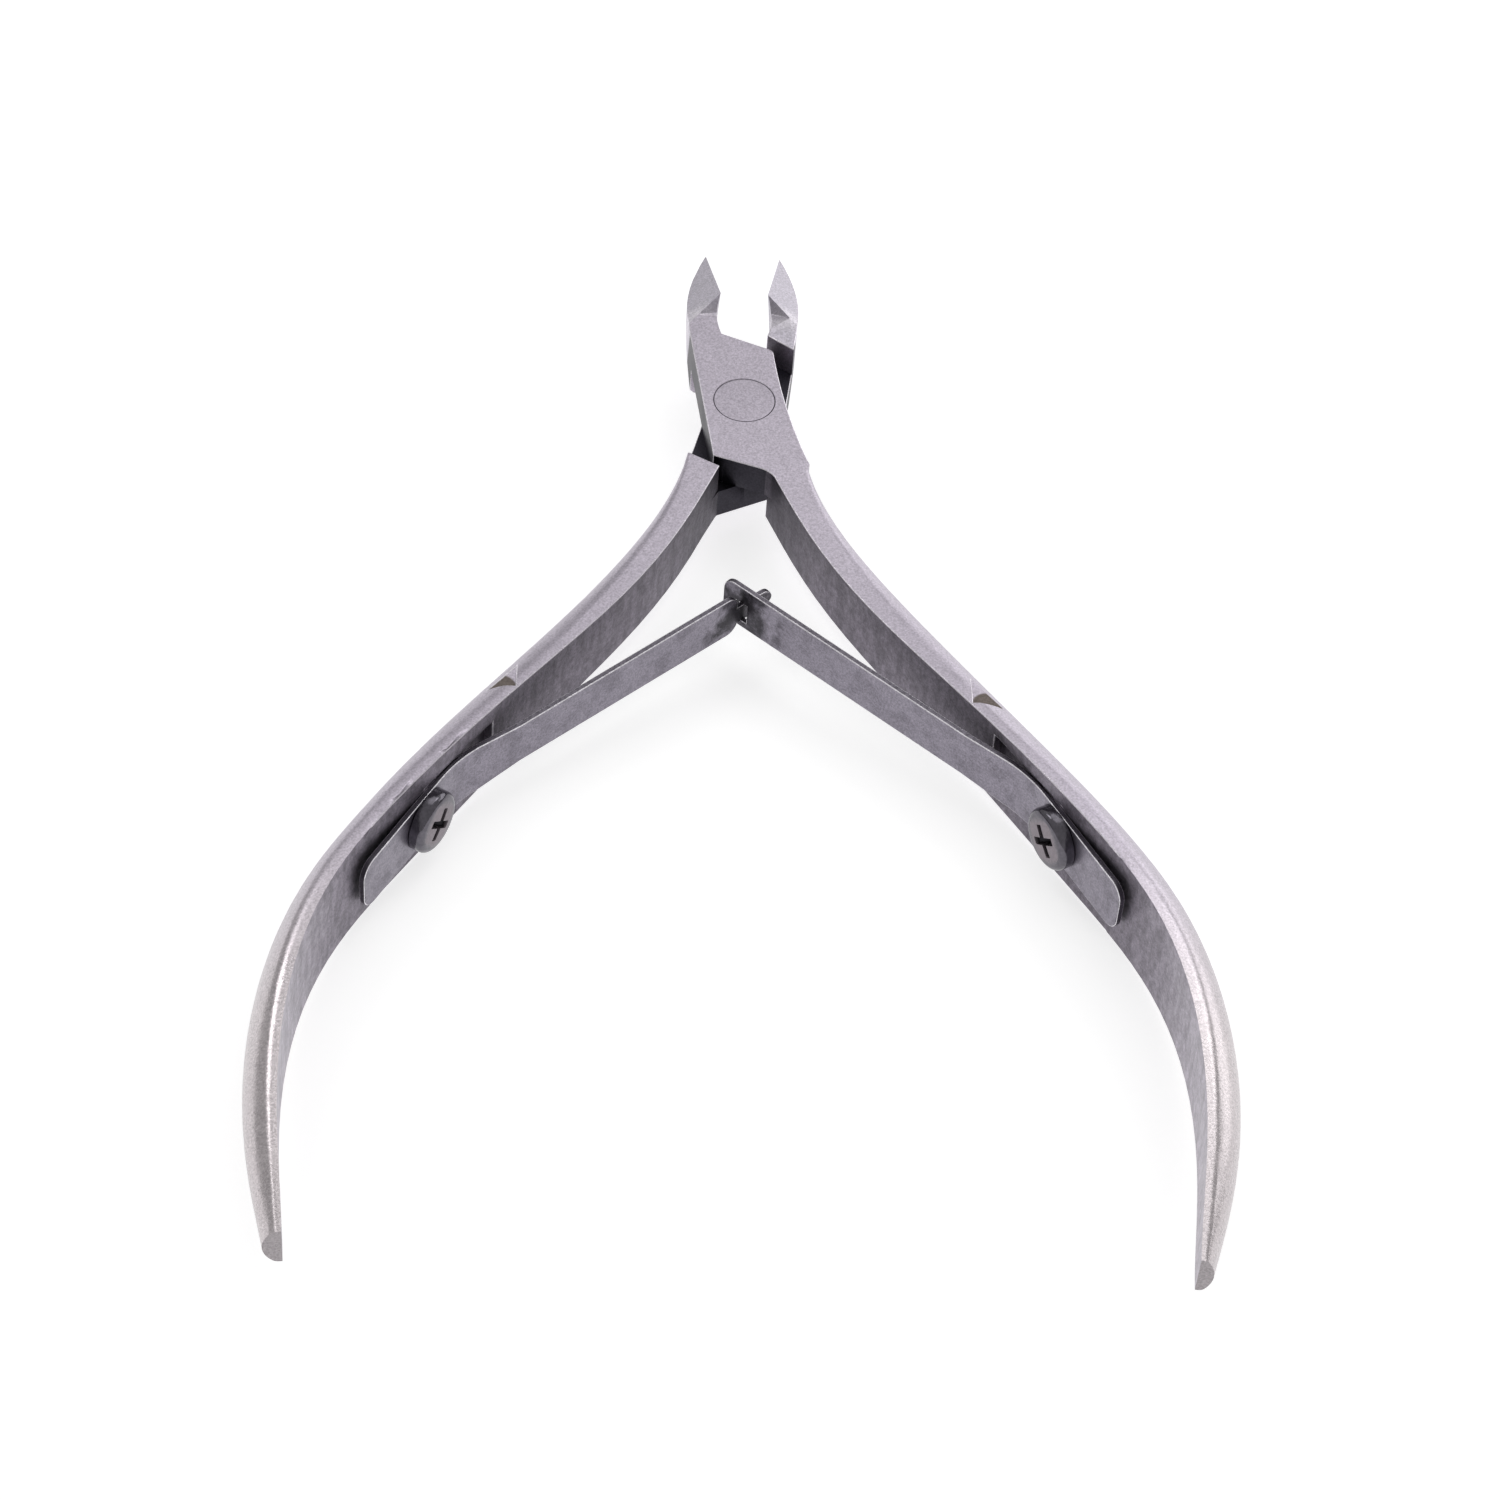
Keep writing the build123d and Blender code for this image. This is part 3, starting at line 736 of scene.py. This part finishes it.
def spring_strip(settings, side_name):
    """Middle surface of a spring: the grid's first parameter runs along the strip, its second across it.

    Across, three bands of cells lie between four lines: the strip's two edges, and between them the two edges
    of the window or tongue. The cells of the window, of the screw hole and beside the tongue are left out.
    """
    right = side_name == "right"
    step, taper, square = 0.35 * MM, 4 * MM, 2.0 * MM
    blend_from, blend_over = 2.2 * MM, 6 * MM
    thinnest_band, sliver = 0.08, 0.004 * MM
    box_low, box_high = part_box(side_name + "_spring_foot")
    middle_level = (box_low[2] + box_high[2]) / 2
    bend_end = spring_path(settings, side_name, np.array([0.0]))[2]
    flex = joint_place(SPRING_JOINTS[side_name])
    crossing = bend_end + abs(flex[0]) / cos(settings.arm_angle)
    foot_half = settings.foot_half_width
    corner = settings.leaf_corner
    inner = 0.36 * foot_half
    hole = settings.foot_past_screw
    if right:
        # A whole leaf with a window at the crossing
        leaf_half = settings.right_half_width
        rise, slit_half = 0.2 * MM, 0.95 * MM
        full_end = strip_end = crossing + 1.8 * MM
        slit = (crossing - 0.6 * MM, crossing + 0.5 * MM)
        late = [slit[0], slit[1]] + rounding_marks(full_end, corner, 7)
    else:
        # A leaf that ends short of the crossing, and a tongue with a round end that goes past it
        leaf_half = settings.left_half_width
        rise, slit_half = 0.5 * MM, 0.85 * MM
        full_end = crossing - 0.7 * MM
        strip_end = crossing + 2.8 * MM
        late = rounding_marks(full_end, corner, 7) + rounding_marks(strip_end, slit_half, 9)
    marks = np.concatenate(
        [
            arc_marks(0, settings.foot_corner, 7),
            [hole - square, hole - inner, hole + inner, hole + square, bend_end, bend_end + taper],
            late,
        ]
    )
    along = stations(marks, step)
    leaf_run = np.maximum(along - bend_end, 0)
    centre = middle_level + rise * leaf_run / (full_end - bend_end)
    half = foot_half + (leaf_half - foot_half) * np.clip(leaf_run / taper, 0, 1)
    half = np.minimum(half, rounded_half_width(half, along, settings.foot_corner))
    half = np.minimum(half, rounded_half_width(half, full_end - along, corner))
    blend = np.clip((along - hole - blend_from) / blend_over, 0, 1)
    blend = blend * blend * (3 - 2 * blend)
    inner_low = (middle_level - inner) * (1 - blend) + (LAP_LEVEL - slit_half) * blend
    inner_high = (middle_level + inner) * (1 - blend) + (LAP_LEVEL + slit_half) * blend
    low = centre - half
    high = centre + half
    thinnest = thinnest_band * (high - low)
    if right:
        inner_low = np.maximum(inner_low, low + thinnest)
        inner_high = np.minimum(inner_high, high - thinnest)
    else:
        past = np.maximum(along - (strip_end - slit_half), 0)
        tongue = np.sqrt(np.maximum(slit_half**2 - past**2, 0))
        beyond = along > strip_end - slit_half
        inner_low = np.where(beyond, LAP_LEVEL - tongue, inner_low)
        inner_high = np.where(beyond, LAP_LEVEL + tongue, inner_high)
        early = along < settings.foot_corner
        inner_low = np.where(early, np.maximum(inner_low, low + thinnest), inner_low)
        inner_high = np.where(early, np.minimum(inner_high, high - thinnest), inner_high)
        low = np.minimum(low, inner_low - sliver)
        high = np.maximum(high, inner_high + sliver)
    bands = zip((low, inner_low, inner_high), (inner_low, inner_high, high), BAND_CELLS)
    lines = [first + (second - first) * k / count for first, second, count in bands for k in range(count)]
    across = np.stack(lines + [high], axis=-1)
    run = np.repeat(along[:, None], across.shape[1], axis=1)
    from_hole = np.stack([run - hole, across - middle_level], axis=-1)
    from_hole = open_screw_hole(from_hole, inner, square, settings.hole_radius)
    run = hole + from_hole[..., 0]
    across = middle_level + from_hole[..., 1]
    points = spring_path(settings, side_name, run)[0]
    surface = np.concatenate([points, across[..., None]], axis=-1)
    rows, columns = run.shape
    middle_run = (along[:-1] + along[1:]) / 2
    in_middle = np.repeat([False, True, False], BAND_CELLS)[None, :]
    kept = np.ones((rows - 1, columns - 1), bool)
    kept &= ~((np.abs(middle_run - hole) < inner)[:, None] & in_middle)
    if right:
        kept &= ~(((middle_run > slit[0]) & (middle_run < slit[1]))[:, None] & in_middle)
    else:
        kept &= ~((middle_run > full_end)[:, None] & ~in_middle)
    strip_place = np.stack([run, across], axis=-1).reshape(-1, 2)
    return surface.reshape(-1, 3), grid_faces(rows, columns, kept), strip_place


def disc_lines(inner_lines, profile_lines):
    """Grid lines of a disc, both ways from its middle."""
    outward = np.unique(np.concatenate([inner_lines, profile_lines]))
    outward = outward[outward > 0]
    return np.concatenate([-outward[::-1], [0.0], outward])


def turned_surface(profile, inner_lines, round_from, round_by):
    """Turned shape without a pole: a square grid drawn into a disc and wrapped over a profile.

    A grid point's distance from the middle, by its larger coordinate, is its distance along the profile,
    which lists (radius, level) from the axis outwards. Up to round_from the grid stays square, and from
    round_by on its rings are circles. Returns the surface, the place in the disc and the faces.
    """
    profile = np.array(profile)
    steps = np.linalg.norm(np.diff(profile, axis=0), axis=1)
    distance = np.concatenate([[0], np.cumsum(steps)])
    smallest = 1e-12
    lines = disc_lines(inner_lines, distance[distance >= round_by])
    first, second = np.meshgrid(lines, lines, indexing="ij")
    place = np.stack([first, second], axis=-1)
    largest = np.abs(place).max(axis=-1)
    reach = np.maximum(np.linalg.norm(place, axis=-1), smallest)
    share = np.clip((largest - round_from) / (round_by - round_from), 0, 1)
    share = share * share * (3 - 2 * share)
    place = place * (1 - share + share * largest / reach)[..., None]
    reach = np.linalg.norm(place, axis=-1)
    direction = place / np.maximum(reach, smallest)[..., None]
    radius = np.interp(reach, distance, profile[:, 0])
    level = np.interp(reach, distance, profile[:, 1])
    surface = np.concatenate([direction * radius[..., None], level[..., None]], axis=-1)
    kept = np.ones((len(lines) - 1, len(lines) - 1), bool)
    return surface, place, grid_faces(len(lines), len(lines), kept)


def arc(centre, radius, start, end, count):
    """Points of an arc in a profile, from one angle to another in degrees."""
    angles = np.radians(np.linspace(start, end, count))
    return [(centre[0] + radius * cos(t), centre[1] + radius * sin(t)) for t in angles]


def screw_surface(settings):
    """Pan-head screw: a low dome, a rounded rim, the underside and the shank, with a cross sunk in the dome.

    Each wing of the cross is deepest in the middle and shallower towards its tip, and its walls stand steep
    between two grid lines set close together. The level at the underside of the head is 0.
    """
    head, height = settings.head_radius, settings.head_height
    rim = 0.42 * height
    dome = 0.06 * height
    shallowing = 0.6
    flat = head - rim
    top = [(r, height - dome * (r / flat) ** 2) for r in np.linspace(0, flat, 12)]
    shoulder = arc((flat, height - rim - dome), rim, 90, 4, 10)[1:]
    side = [(head, 0.25 * height), (head, 0.06 * height), (head - 0.06 * height, 0.0)]
    shank_end = -settings.shank_length
    point = settings.shank_radius
    under = [(point + 0.1 * MM, 0.0), (point, -0.1 * MM), (point, 0.5 * shank_end), (point, shank_end)]
    tip = [(0.7 * point, shank_end), (0.35 * point, shank_end), (0.0, shank_end)]
    half = settings.recess_width / 2
    reach = settings.recess_length / 2
    gap = 0.03 * MM
    inner = np.concatenate(
        [
            np.linspace(0, half - gap, 4),
            np.linspace(half + gap, reach - gap, 9),
            [reach + gap, reach + 4 * gap],
        ]
    )
    profile = top + shoulder + side + under + tip
    surface, place, faces = turned_surface(profile, inner, reach + 2 * gap, 0.97 * flat)
    x, y = np.abs(place[..., 0]), np.abs(place[..., 1])
    wing_x = (x < reach) & (y < half)
    wing_y = (y < reach) & (x < half)
    run = np.where(wing_x & wing_y, 0, np.where(wing_x, x, y))
    sunk = settings.recess_depth * (1 - shallowing * np.clip((run - half) / (reach - half), 0, 1))
    in_cross = wing_x | wing_y
    surface[..., 2] -= np.where(in_cross, sunk, 0)
    on_face = np.linalg.norm(place, axis=-1) < flat
    return surface.reshape(-1, 3), faces, in_cross.reshape(-1), on_face.reshape(-1)


def rivet_surface(settings):
    """Flush rivet: barely domed heads with a chamfered rim, joined by their cones and the shank.

    A head's level falls from the middle by the sink times the square of the share of the radius.
    """
    low, high = RIVET_BOX
    radius = (high[0] - low[0]) / 2
    top, bottom = high[2], low[2]
    chamfer = settings.chamfer
    sink = 0.02 * MM
    shank = 0.8 * radius
    cone = 0.7 * MM
    upper = [(r, top - sink * (r / radius) ** 2) for r in np.linspace(0, radius - chamfer, 14)]
    wall = [
        (radius - 0.3 * chamfer, top - 0.5 * chamfer),
        (radius, top - chamfer),
        (shank, top - cone),
        (shank, bottom + cone),
        (radius, bottom + chamfer),
        (radius - 0.3 * chamfer, bottom + 0.5 * chamfer),
    ]
    lower = [(r, bottom + sink * (r / radius) ** 2) for r in np.linspace(radius - chamfer, 0, 6)]
    inner = np.linspace(0, 0.5 * radius, 6)
    surface, _, faces = turned_surface(upper + wall + lower, inner, 0.5 * radius, 0.8 * radius)
    return surface.reshape(-1, 3), faces


# ---- operators ----


class NIPPER_OT_stage(Operator):
    """Set the floor, the lamps and the camera"""

    bl_idname = "nipper.stage"
    bl_label = "Stage"

    def execute(self, context):
        settings = context.scene.nipper_stage
        scene = context.scene
        scene.view_settings.view_transform = "Standard"
        self.place_camera(scene, settings)
        self.light_world(scene, settings)
        self.lay_floor(settings)
        self.hang_lamps(scene, settings)
        return {"FINISHED"}

    def place_camera(self, scene, settings):
        """Camera on a sphere round the aim point, turned about its line of sight."""
        camera = bpy.data.objects.new("Camera", bpy.data.cameras.new("Camera"))
        scene.collection.objects.link(camera)
        scene.camera = camera
        camera.data.sensor_width = 36
        camera.data.lens = settings.lens / MM
        camera.data.clip_start = 0.01
        rise, around = settings.camera_elevation, settings.camera_azimuth
        back = Vector((sin(around) * cos(rise), -cos(around) * cos(rise), sin(rise)))
        aim = Vector((settings.aim_x, settings.aim_y, LAP_LEVEL))
        camera.location = aim + back * settings.camera_distance
        level = (-back).to_track_quat("-Z", "Y").to_matrix()
        camera.rotation_euler = (level @ Matrix.Rotation(settings.camera_roll, 3, "Z")).to_euler()

    def light_world(self, scene, settings):
        """Even white light all round, and plain white behind the floor's edge for the camera."""
        world = bpy.data.worlds.new("Studio")
        scene.world = world
        world.use_nodes = True
        world.node_tree.nodes.clear()
        node = partial(add_node, world.node_tree)
        rays = node("ShaderNodeLightPath").outputs
        strength = node("ShaderNodeMath", {0: rays["Is Camera Ray"], 1: settings.sky}, operation="MAXIMUM")
        light = node("ShaderNodeBackground", {"Color": opaque((1, 1, 1)), "Strength": strength})
        node("ShaderNodeOutputWorld", {"Surface": light})

    def lay_floor(self, settings):
        """Plain pale floor: a disc of 3 m radius, lifted to white for the camera and for reflections."""
        reach, corners, clearance = 3.0, 64, 0.02 * MM
        level = CAD_BOX[0][2] - clearance
        turns = np.linspace(0, 2 * pi, corners, endpoint=False)
        rim = np.stack([reach * np.cos(turns), reach * np.sin(turns), np.full(corners, level)], axis=-1)
        floor = put_mesh("floor", rim, np.arange(corners)[None, :])
        material, node = empty_material("Matt white board")
        matt = node(
            "ShaderNodeBsdfPrincipled", {"Base Color": opaque(settings.floor_colour), "Roughness": 0.9}
        )
        rays = node("ShaderNodeLightPath").outputs
        seen = node(
            "ShaderNodeMath", {0: rays["Is Camera Ray"], 1: rays["Is Glossy Ray"]}, operation="MAXIMUM"
        )
        seen = node("ShaderNodeMath", {0: seen, 1: rays["Is Transmission Ray"]}, operation="MAXIMUM")
        strength = node("ShaderNodeMath", {0: seen, 1: settings.floor_lift}, operation="MULTIPLY")
        lift = node("ShaderNodeEmission", {"Color": opaque((1, 1, 1)), "Strength": strength})
        both = node("ShaderNodeAddShader", {0: matt, 1: lift})
        node("ShaderNodeOutputMaterial", {"Surface": both})
        floor.data.materials.append(material)

    def hang_lamps(self, scene, settings):
        """Softbox, low panel on the right and a small high strip on each side, all beyond the jaws.

        Each is placed by its azimuth in degrees, from the way the jaws point round to the right, and its
        elevation, and has a width and a height in metres. Its energy is its brightness times pi times its
        area.
        """
        aim, distance = Vector((0, -0.035, 0)), 0.45
        lamps = (
            ("softbox", settings.softbox, 15, 59, (0.25, 0.3)),
            ("right panel", settings.right_panel, 47, 12, (0.44, 0.24)),
            ("right strip", settings.right_strip, 39, 49, (0.13, 0.12)),
            ("left strip", settings.left_strip, -46, 50, (0.12, 0.16)),
        )
        for name, brightness, azimuth, elevation, (width, height) in lamps:
            lamp = bpy.data.lights.new(name, "AREA")
            lamp.shape = "RECTANGLE"
            lamp.size = width
            lamp.size_y = height
            lamp.energy = brightness * pi * width * height
            holder = bpy.data.objects.new(name, lamp)
            scene.collection.objects.link(holder)
            across, rise = radians(azimuth), radians(elevation)
            away = Vector((sin(across) * cos(rise), cos(across) * cos(rise), sin(rise)))
            holder.location = aim + away * distance
            holder.rotation_euler = (-away).to_track_quat("-Z", "Y").to_euler()


class NIPPER_OT_halves(Operator):
    """Weld and round each forged half, and mark its blasted, forged, ground and filed faces and those in
    painted shade
    """

    bl_idname = "nipper.halves"
    bl_label = "Forged halves"
    ROUNDED_FROM = 40
    SHARP_FROM = 25
    FLAT_WITHIN = 0.2

    def execute(self, context):
        settings = context.scene.nipper_steel
        material = forged_steel(settings)
        # The rounded edges get a light colour, partly their burnish and partly a painted highlight
        edge = nicked_edge_steel("Burnished forged edge with painted highlight", settings.edge)
        for body, side in HALVES.items():
            node = body + "_half"
            piece = self.welded_copy(node, "forged_" + body + "_half")
            self.mark_finishes(piece.data, side)
            weigh_edges(piece.data, radians(self.ROUNDED_FROM))
            round_edges(piece, settings.edge_radius, material_slot=1)
            piece.data.materials.append(material)
            piece.data.materials.append(edge)
            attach(piece, body)
            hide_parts(node)
        return {"FINISHED"}

    def welded_copy(self, node, name):
        """Copy of a CAD node whose loose triangles are merged, shaded smoothly between its sharp edges."""
        merged, collapsed = 0.008 * MM, 0.004 * MM
        work = bmesh.new()
        work.from_mesh(frame["nodes"][node].data)
        bmesh.ops.remove_doubles(work, verts=work.verts, dist=merged)
        bmesh.ops.dissolve_degenerate(work, edges=work.edges, dist=collapsed)
        bmesh.ops.dissolve_limit(
            work, angle_limit=radians(self.FLAT_WITHIN), verts=work.verts, edges=work.edges
        )
        # The rounding of the long edges stops at these two levels, on either side of the lap's corners
        for level in LAP_CORNERS:
            whole = work.verts[:] + work.edges[:] + work.faces[:]
            bmesh.ops.bisect_plane(work, geom=whole, plane_co=(0, level, 0), plane_no=(0, 1, 0))
        points = np.array([vertex.co for vertex in work.verts])
        work.verts.index_update()
        faces = [[vertex.index for vertex in face.verts] for face in work.faces]
        work.free()
        mesh = bpy.data.meshes.new(name)
        mesh.from_pydata(points.tolist(), [], faces)
        mesh.shade_smooth()
        mesh.set_sharp_from_angle(angle=radians(self.SHARP_FROM))
        piece = bpy.data.objects.new(name, mesh)
        bpy.context.scene.collection.objects.link(piece)
        return piece

    def mark_finishes(self, mesh, side):
        """Face attributes from each face's direction and place: which are forged, ground or filed, and which
        are in painted shade.

        Places are in millimetres from the pivot and from the lap plane.
        """
        count = len(mesh.polygons)
        normals = np.empty(count * 3, np.float32)
        centres = np.empty(count * 3, np.float32)
        mesh.polygons.foreach_get("normal", normals)
        mesh.polygons.foreach_get("center", centres)
        normals = normals.reshape(-1, 3)
        x, y, z = centres.reshape(-1, 3).T / MM
        z = z - LAP_LEVEL / MM
        lap_foot, lap_head, jaw_foot = -7.6, -7.9, 8
        web_end, handle_end = -12, -81
        flat_top, flat_start, flat_stop = 2.9, -33, -29
        scoop_shade_share, end_shade_share = 0.4, 0.45
        upright = np.abs(normals[:, 2]) < 0.35
        level = np.abs(normals[:, 2]) > 0.9
        downwards = normals[:, 1] < -0.8
        inwards = -0.8 * side * normals[:, 0] - 0.6 * normals[:, 1] > 0.45
        outer_side = side * normals[:, 0] > 0.5
        end_face = (y < handle_end) & downwards
        web_wall = (y < lap_foot) & (y > web_end) & downwards
        lap_face = level & (np.abs(z) < 0.1)
        lap_wall = upright & (y > lap_head) & (y < jaw_foot) & ~outer_side
        # Faces in painted shade: the lap's faces and walls and the web between the handles
        lap_and_end_shade = lap_face | lap_wall | web_wall
        ground = (y > jaw_foot) & ~lap_and_end_shade
        filed = level & (np.abs(z - flat_top) < 0.03) & (y > flat_start) & (y < flat_stop)
        filed &= (side * x > 16.9) & (side * x < 22)
        # Inner walls, whose colour is partly the forging's skin and partly painted shade
        forged = upright & inwards & (y < lap_foot) & ~end_face & ~lap_and_end_shade
        scoop = (y > 10) & (y < 13.4) & (np.abs(x) < 3.9) & (z > -0.5) & (normals[:, 1] < -0.25) & ~upright
        # Painted shade, in part: the back walls of the scoops behind the cutting facets take a share of the
        # inner walls' colour, and the handles' end faces a share of the near-black colour
        forged = np.where(scoop, scoop_shade_share, forged)
        # Painted shade: the handles' end faces get this share of the near-black colour
        lap_and_end_shade = np.where(end_face, end_shade_share, lap_and_end_shade)
        for name, mask in (("forged", forged), ("ground", ground), ("lap_and_end_shade", lap_and_end_shade), ("filed", filed)):
            attribute = mesh.attributes.new(name, "FLOAT", "FACE")
            attribute.data.foreach_set("value", mask.astype(np.float32))


class NIPPER_OT_rivet(Operator):
    """Make the flush pivot rivet"""

    bl_idname = "nipper.rivet"
    bl_label = "Pivot rivet"

    def execute(self, context):
        points, faces = rivet_surface(context.scene.nipper_rivet)
        rivet = put_mesh("flush_rivet", points, faces)
        close_and_smooth(rivet.data, WELD, radians(25))
        rivet.data.materials.append(riveted_steel(context.scene.nipper_steel))
        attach(rivet, "rear")
        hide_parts("pivot_rivet")
        return {"FINISHED"}


class NIPPER_OT_springs(Operator):
    """Make each leaf spring as one strip from its foot to its window or tongue"""

    bl_idname = "nipper.springs"
    bl_label = "Leaf springs"

    def execute(self, context):
        settings = context.scene.nipper_spring
        material = spring_strip_steel(settings)
        sheared = nicked_edge_steel("Sheared strip side", settings.sheared)
        # The rounded corners of the strip get a bright colour, partly their tumbling and partly a painted
        # highlight
        edge = nicked_edge_steel("Tumbled strip corner with painted highlight", settings.edge)
        for side_name in SIDES:
            points, faces, strip_place = spring_strip(settings, side_name)
            points, faces, used = drop_loose_points(points, faces)
            spring = put_mesh(side_name + "_leaf_spring", points, faces)
            layer = spring.data.uv_layers.new(name="strip")
            corners = strip_place[used][faces.reshape(-1)]
            layer.data.foreach_set("uv", corners.astype(np.float32).ravel())
            for finish in (material, sheared, edge):
                spring.data.materials.append(finish)
            self.thicken(spring, settings)
            # Ends of the stretch where the strip flexes, 4 mm before the end of its bend and 3 mm past it
            bend_end = spring_path(settings, side_name, np.array([0.0]))[2]
            ends = spring_path(settings, side_name, bend_end + np.array([-4.0, 3.0]) * MM)[0]
            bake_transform(spring)
            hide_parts(side_name + "_spring_foot", side_name + "_spring_leaf")
        return {"FINISHED"}

    def thicken(self, spring, settings):
        """Gives the strip its thickness, half to each side, and rounds its edges."""
        close_and_smooth(spring.data, WELD, radians(30))
        solid = spring.modifiers.new("Thickness", "SOLIDIFY")
        solid.thickness = settings.thickness
        solid.offset = 0
        solid.material_offset_rim = 1
        round_edges(spring, settings.edge_radius, radians(40), 2)
        apply_modifiers(spring)


class NIPPER_OT_screws(Operator):
    """Make the two pan-head screws"""

    bl_idname = "nipper.screws"
    bl_label = "Spring screws"

    def execute(self, context):
        settings = context.scene.nipper_screw
        springs = context.scene.nipper_spring
        material = plated_screw_steel(settings)
        points, faces, in_cross, on_face = screw_surface(settings)
        for side_name, body in SPRING_ROOTS.items():
            node = side_name + "_screw"
            middle, left, _ = spring_path(springs, side_name, np.array([springs.foot_past_screw]))
            low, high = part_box(side_name + "_spring_foot")
            axis = Vector((float(left[0, 0]), float(left[0, 1]), 0))
            seat = Vector((float(middle[0, 0]), float(middle[0, 1]), (low[2] + high[2]) / 2))
            seat += axis * springs.thickness / 2
            first = Vector((0, 0, 1)).cross(axis)
            turned = Matrix((first, axis.cross(first), axis)).transposed()
            turned = np.array(turned @ Matrix.Rotation(settings.recess_turn * SIDES[side_name], 3, "Z"))
            screw = put_mesh(side_name + "_pan_head_screw", points @ turned.T + np.array(seat), faces)
            for name, mask in (("recess", in_cross), ("face", on_face)):
                attribute = screw.data.attributes.new(name, "FLOAT", "POINT")
                attribute.data.foreach_set("value", mask.astype(np.float32))
            close_and_smooth(screw.data, WELD, radians(35))
            screw.data.materials.append(material)
            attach(screw, body)
            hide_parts(node)
        return {"FINISHED"}


class NIPPER_PT_panel(Panel):
    """Sizes, colours and pieces of the nipper"""

    bl_label = "Cuticle Nipper"
    bl_idname = "NIPPER_PT_panel"
    bl_space_type = "VIEW_3D"
    bl_region_type = "UI"
    bl_category = "Nipper"

    def draw(self, context):
        for group, operator in PANEL_ROWS:
            settings = getattr(context.scene, group)
            box = self.layout.box()
            box.operator(operator)
            for name in settings.bl_rna.properties.keys():
                if name not in ("rna_type", "name"):
                    box.prop(settings, name)


GROUPS = {
    "nipper_stage": StageSettings,
    "nipper_steel": SteelSettings,
    "nipper_rivet": RivetSettings,
    "nipper_spring": SpringSettings,
    "nipper_screw": ScrewSettings,
}
OPERATORS = (NIPPER_OT_stage, NIPPER_OT_halves, NIPPER_OT_rivet, NIPPER_OT_springs, NIPPER_OT_screws)
PANEL_ROWS = tuple(zip(GROUPS, (operator.bl_idname for operator in OPERATORS)))


def register():
    for group in GROUPS.values():
        bpy.utils.register_class(group)
    for name, group in GROUPS.items():
        setattr(bpy.types.Scene, name, PointerProperty(type=group))
    for operator in OPERATORS:
        bpy.utils.register_class(operator)
    bpy.utils.register_class(NIPPER_PT_panel)


def unregister():
    bpy.utils.unregister_class(NIPPER_PT_panel)
    for operator in reversed(OPERATORS):
        bpy.utils.unregister_class(operator)
    for name in GROUPS:
        delattr(bpy.types.Scene, name)
    for group in reversed(list(GROUPS.values())):
        bpy.utils.unregister_class(group)


def main():
    register()
    bpy.ops.nipper.stage()
    bpy.ops.nipper.halves()
    bpy.ops.nipper.rivet()
    bpy.ops.nipper.springs()
    bpy.ops.nipper.screws()


if __name__ == "__main__":
    main()
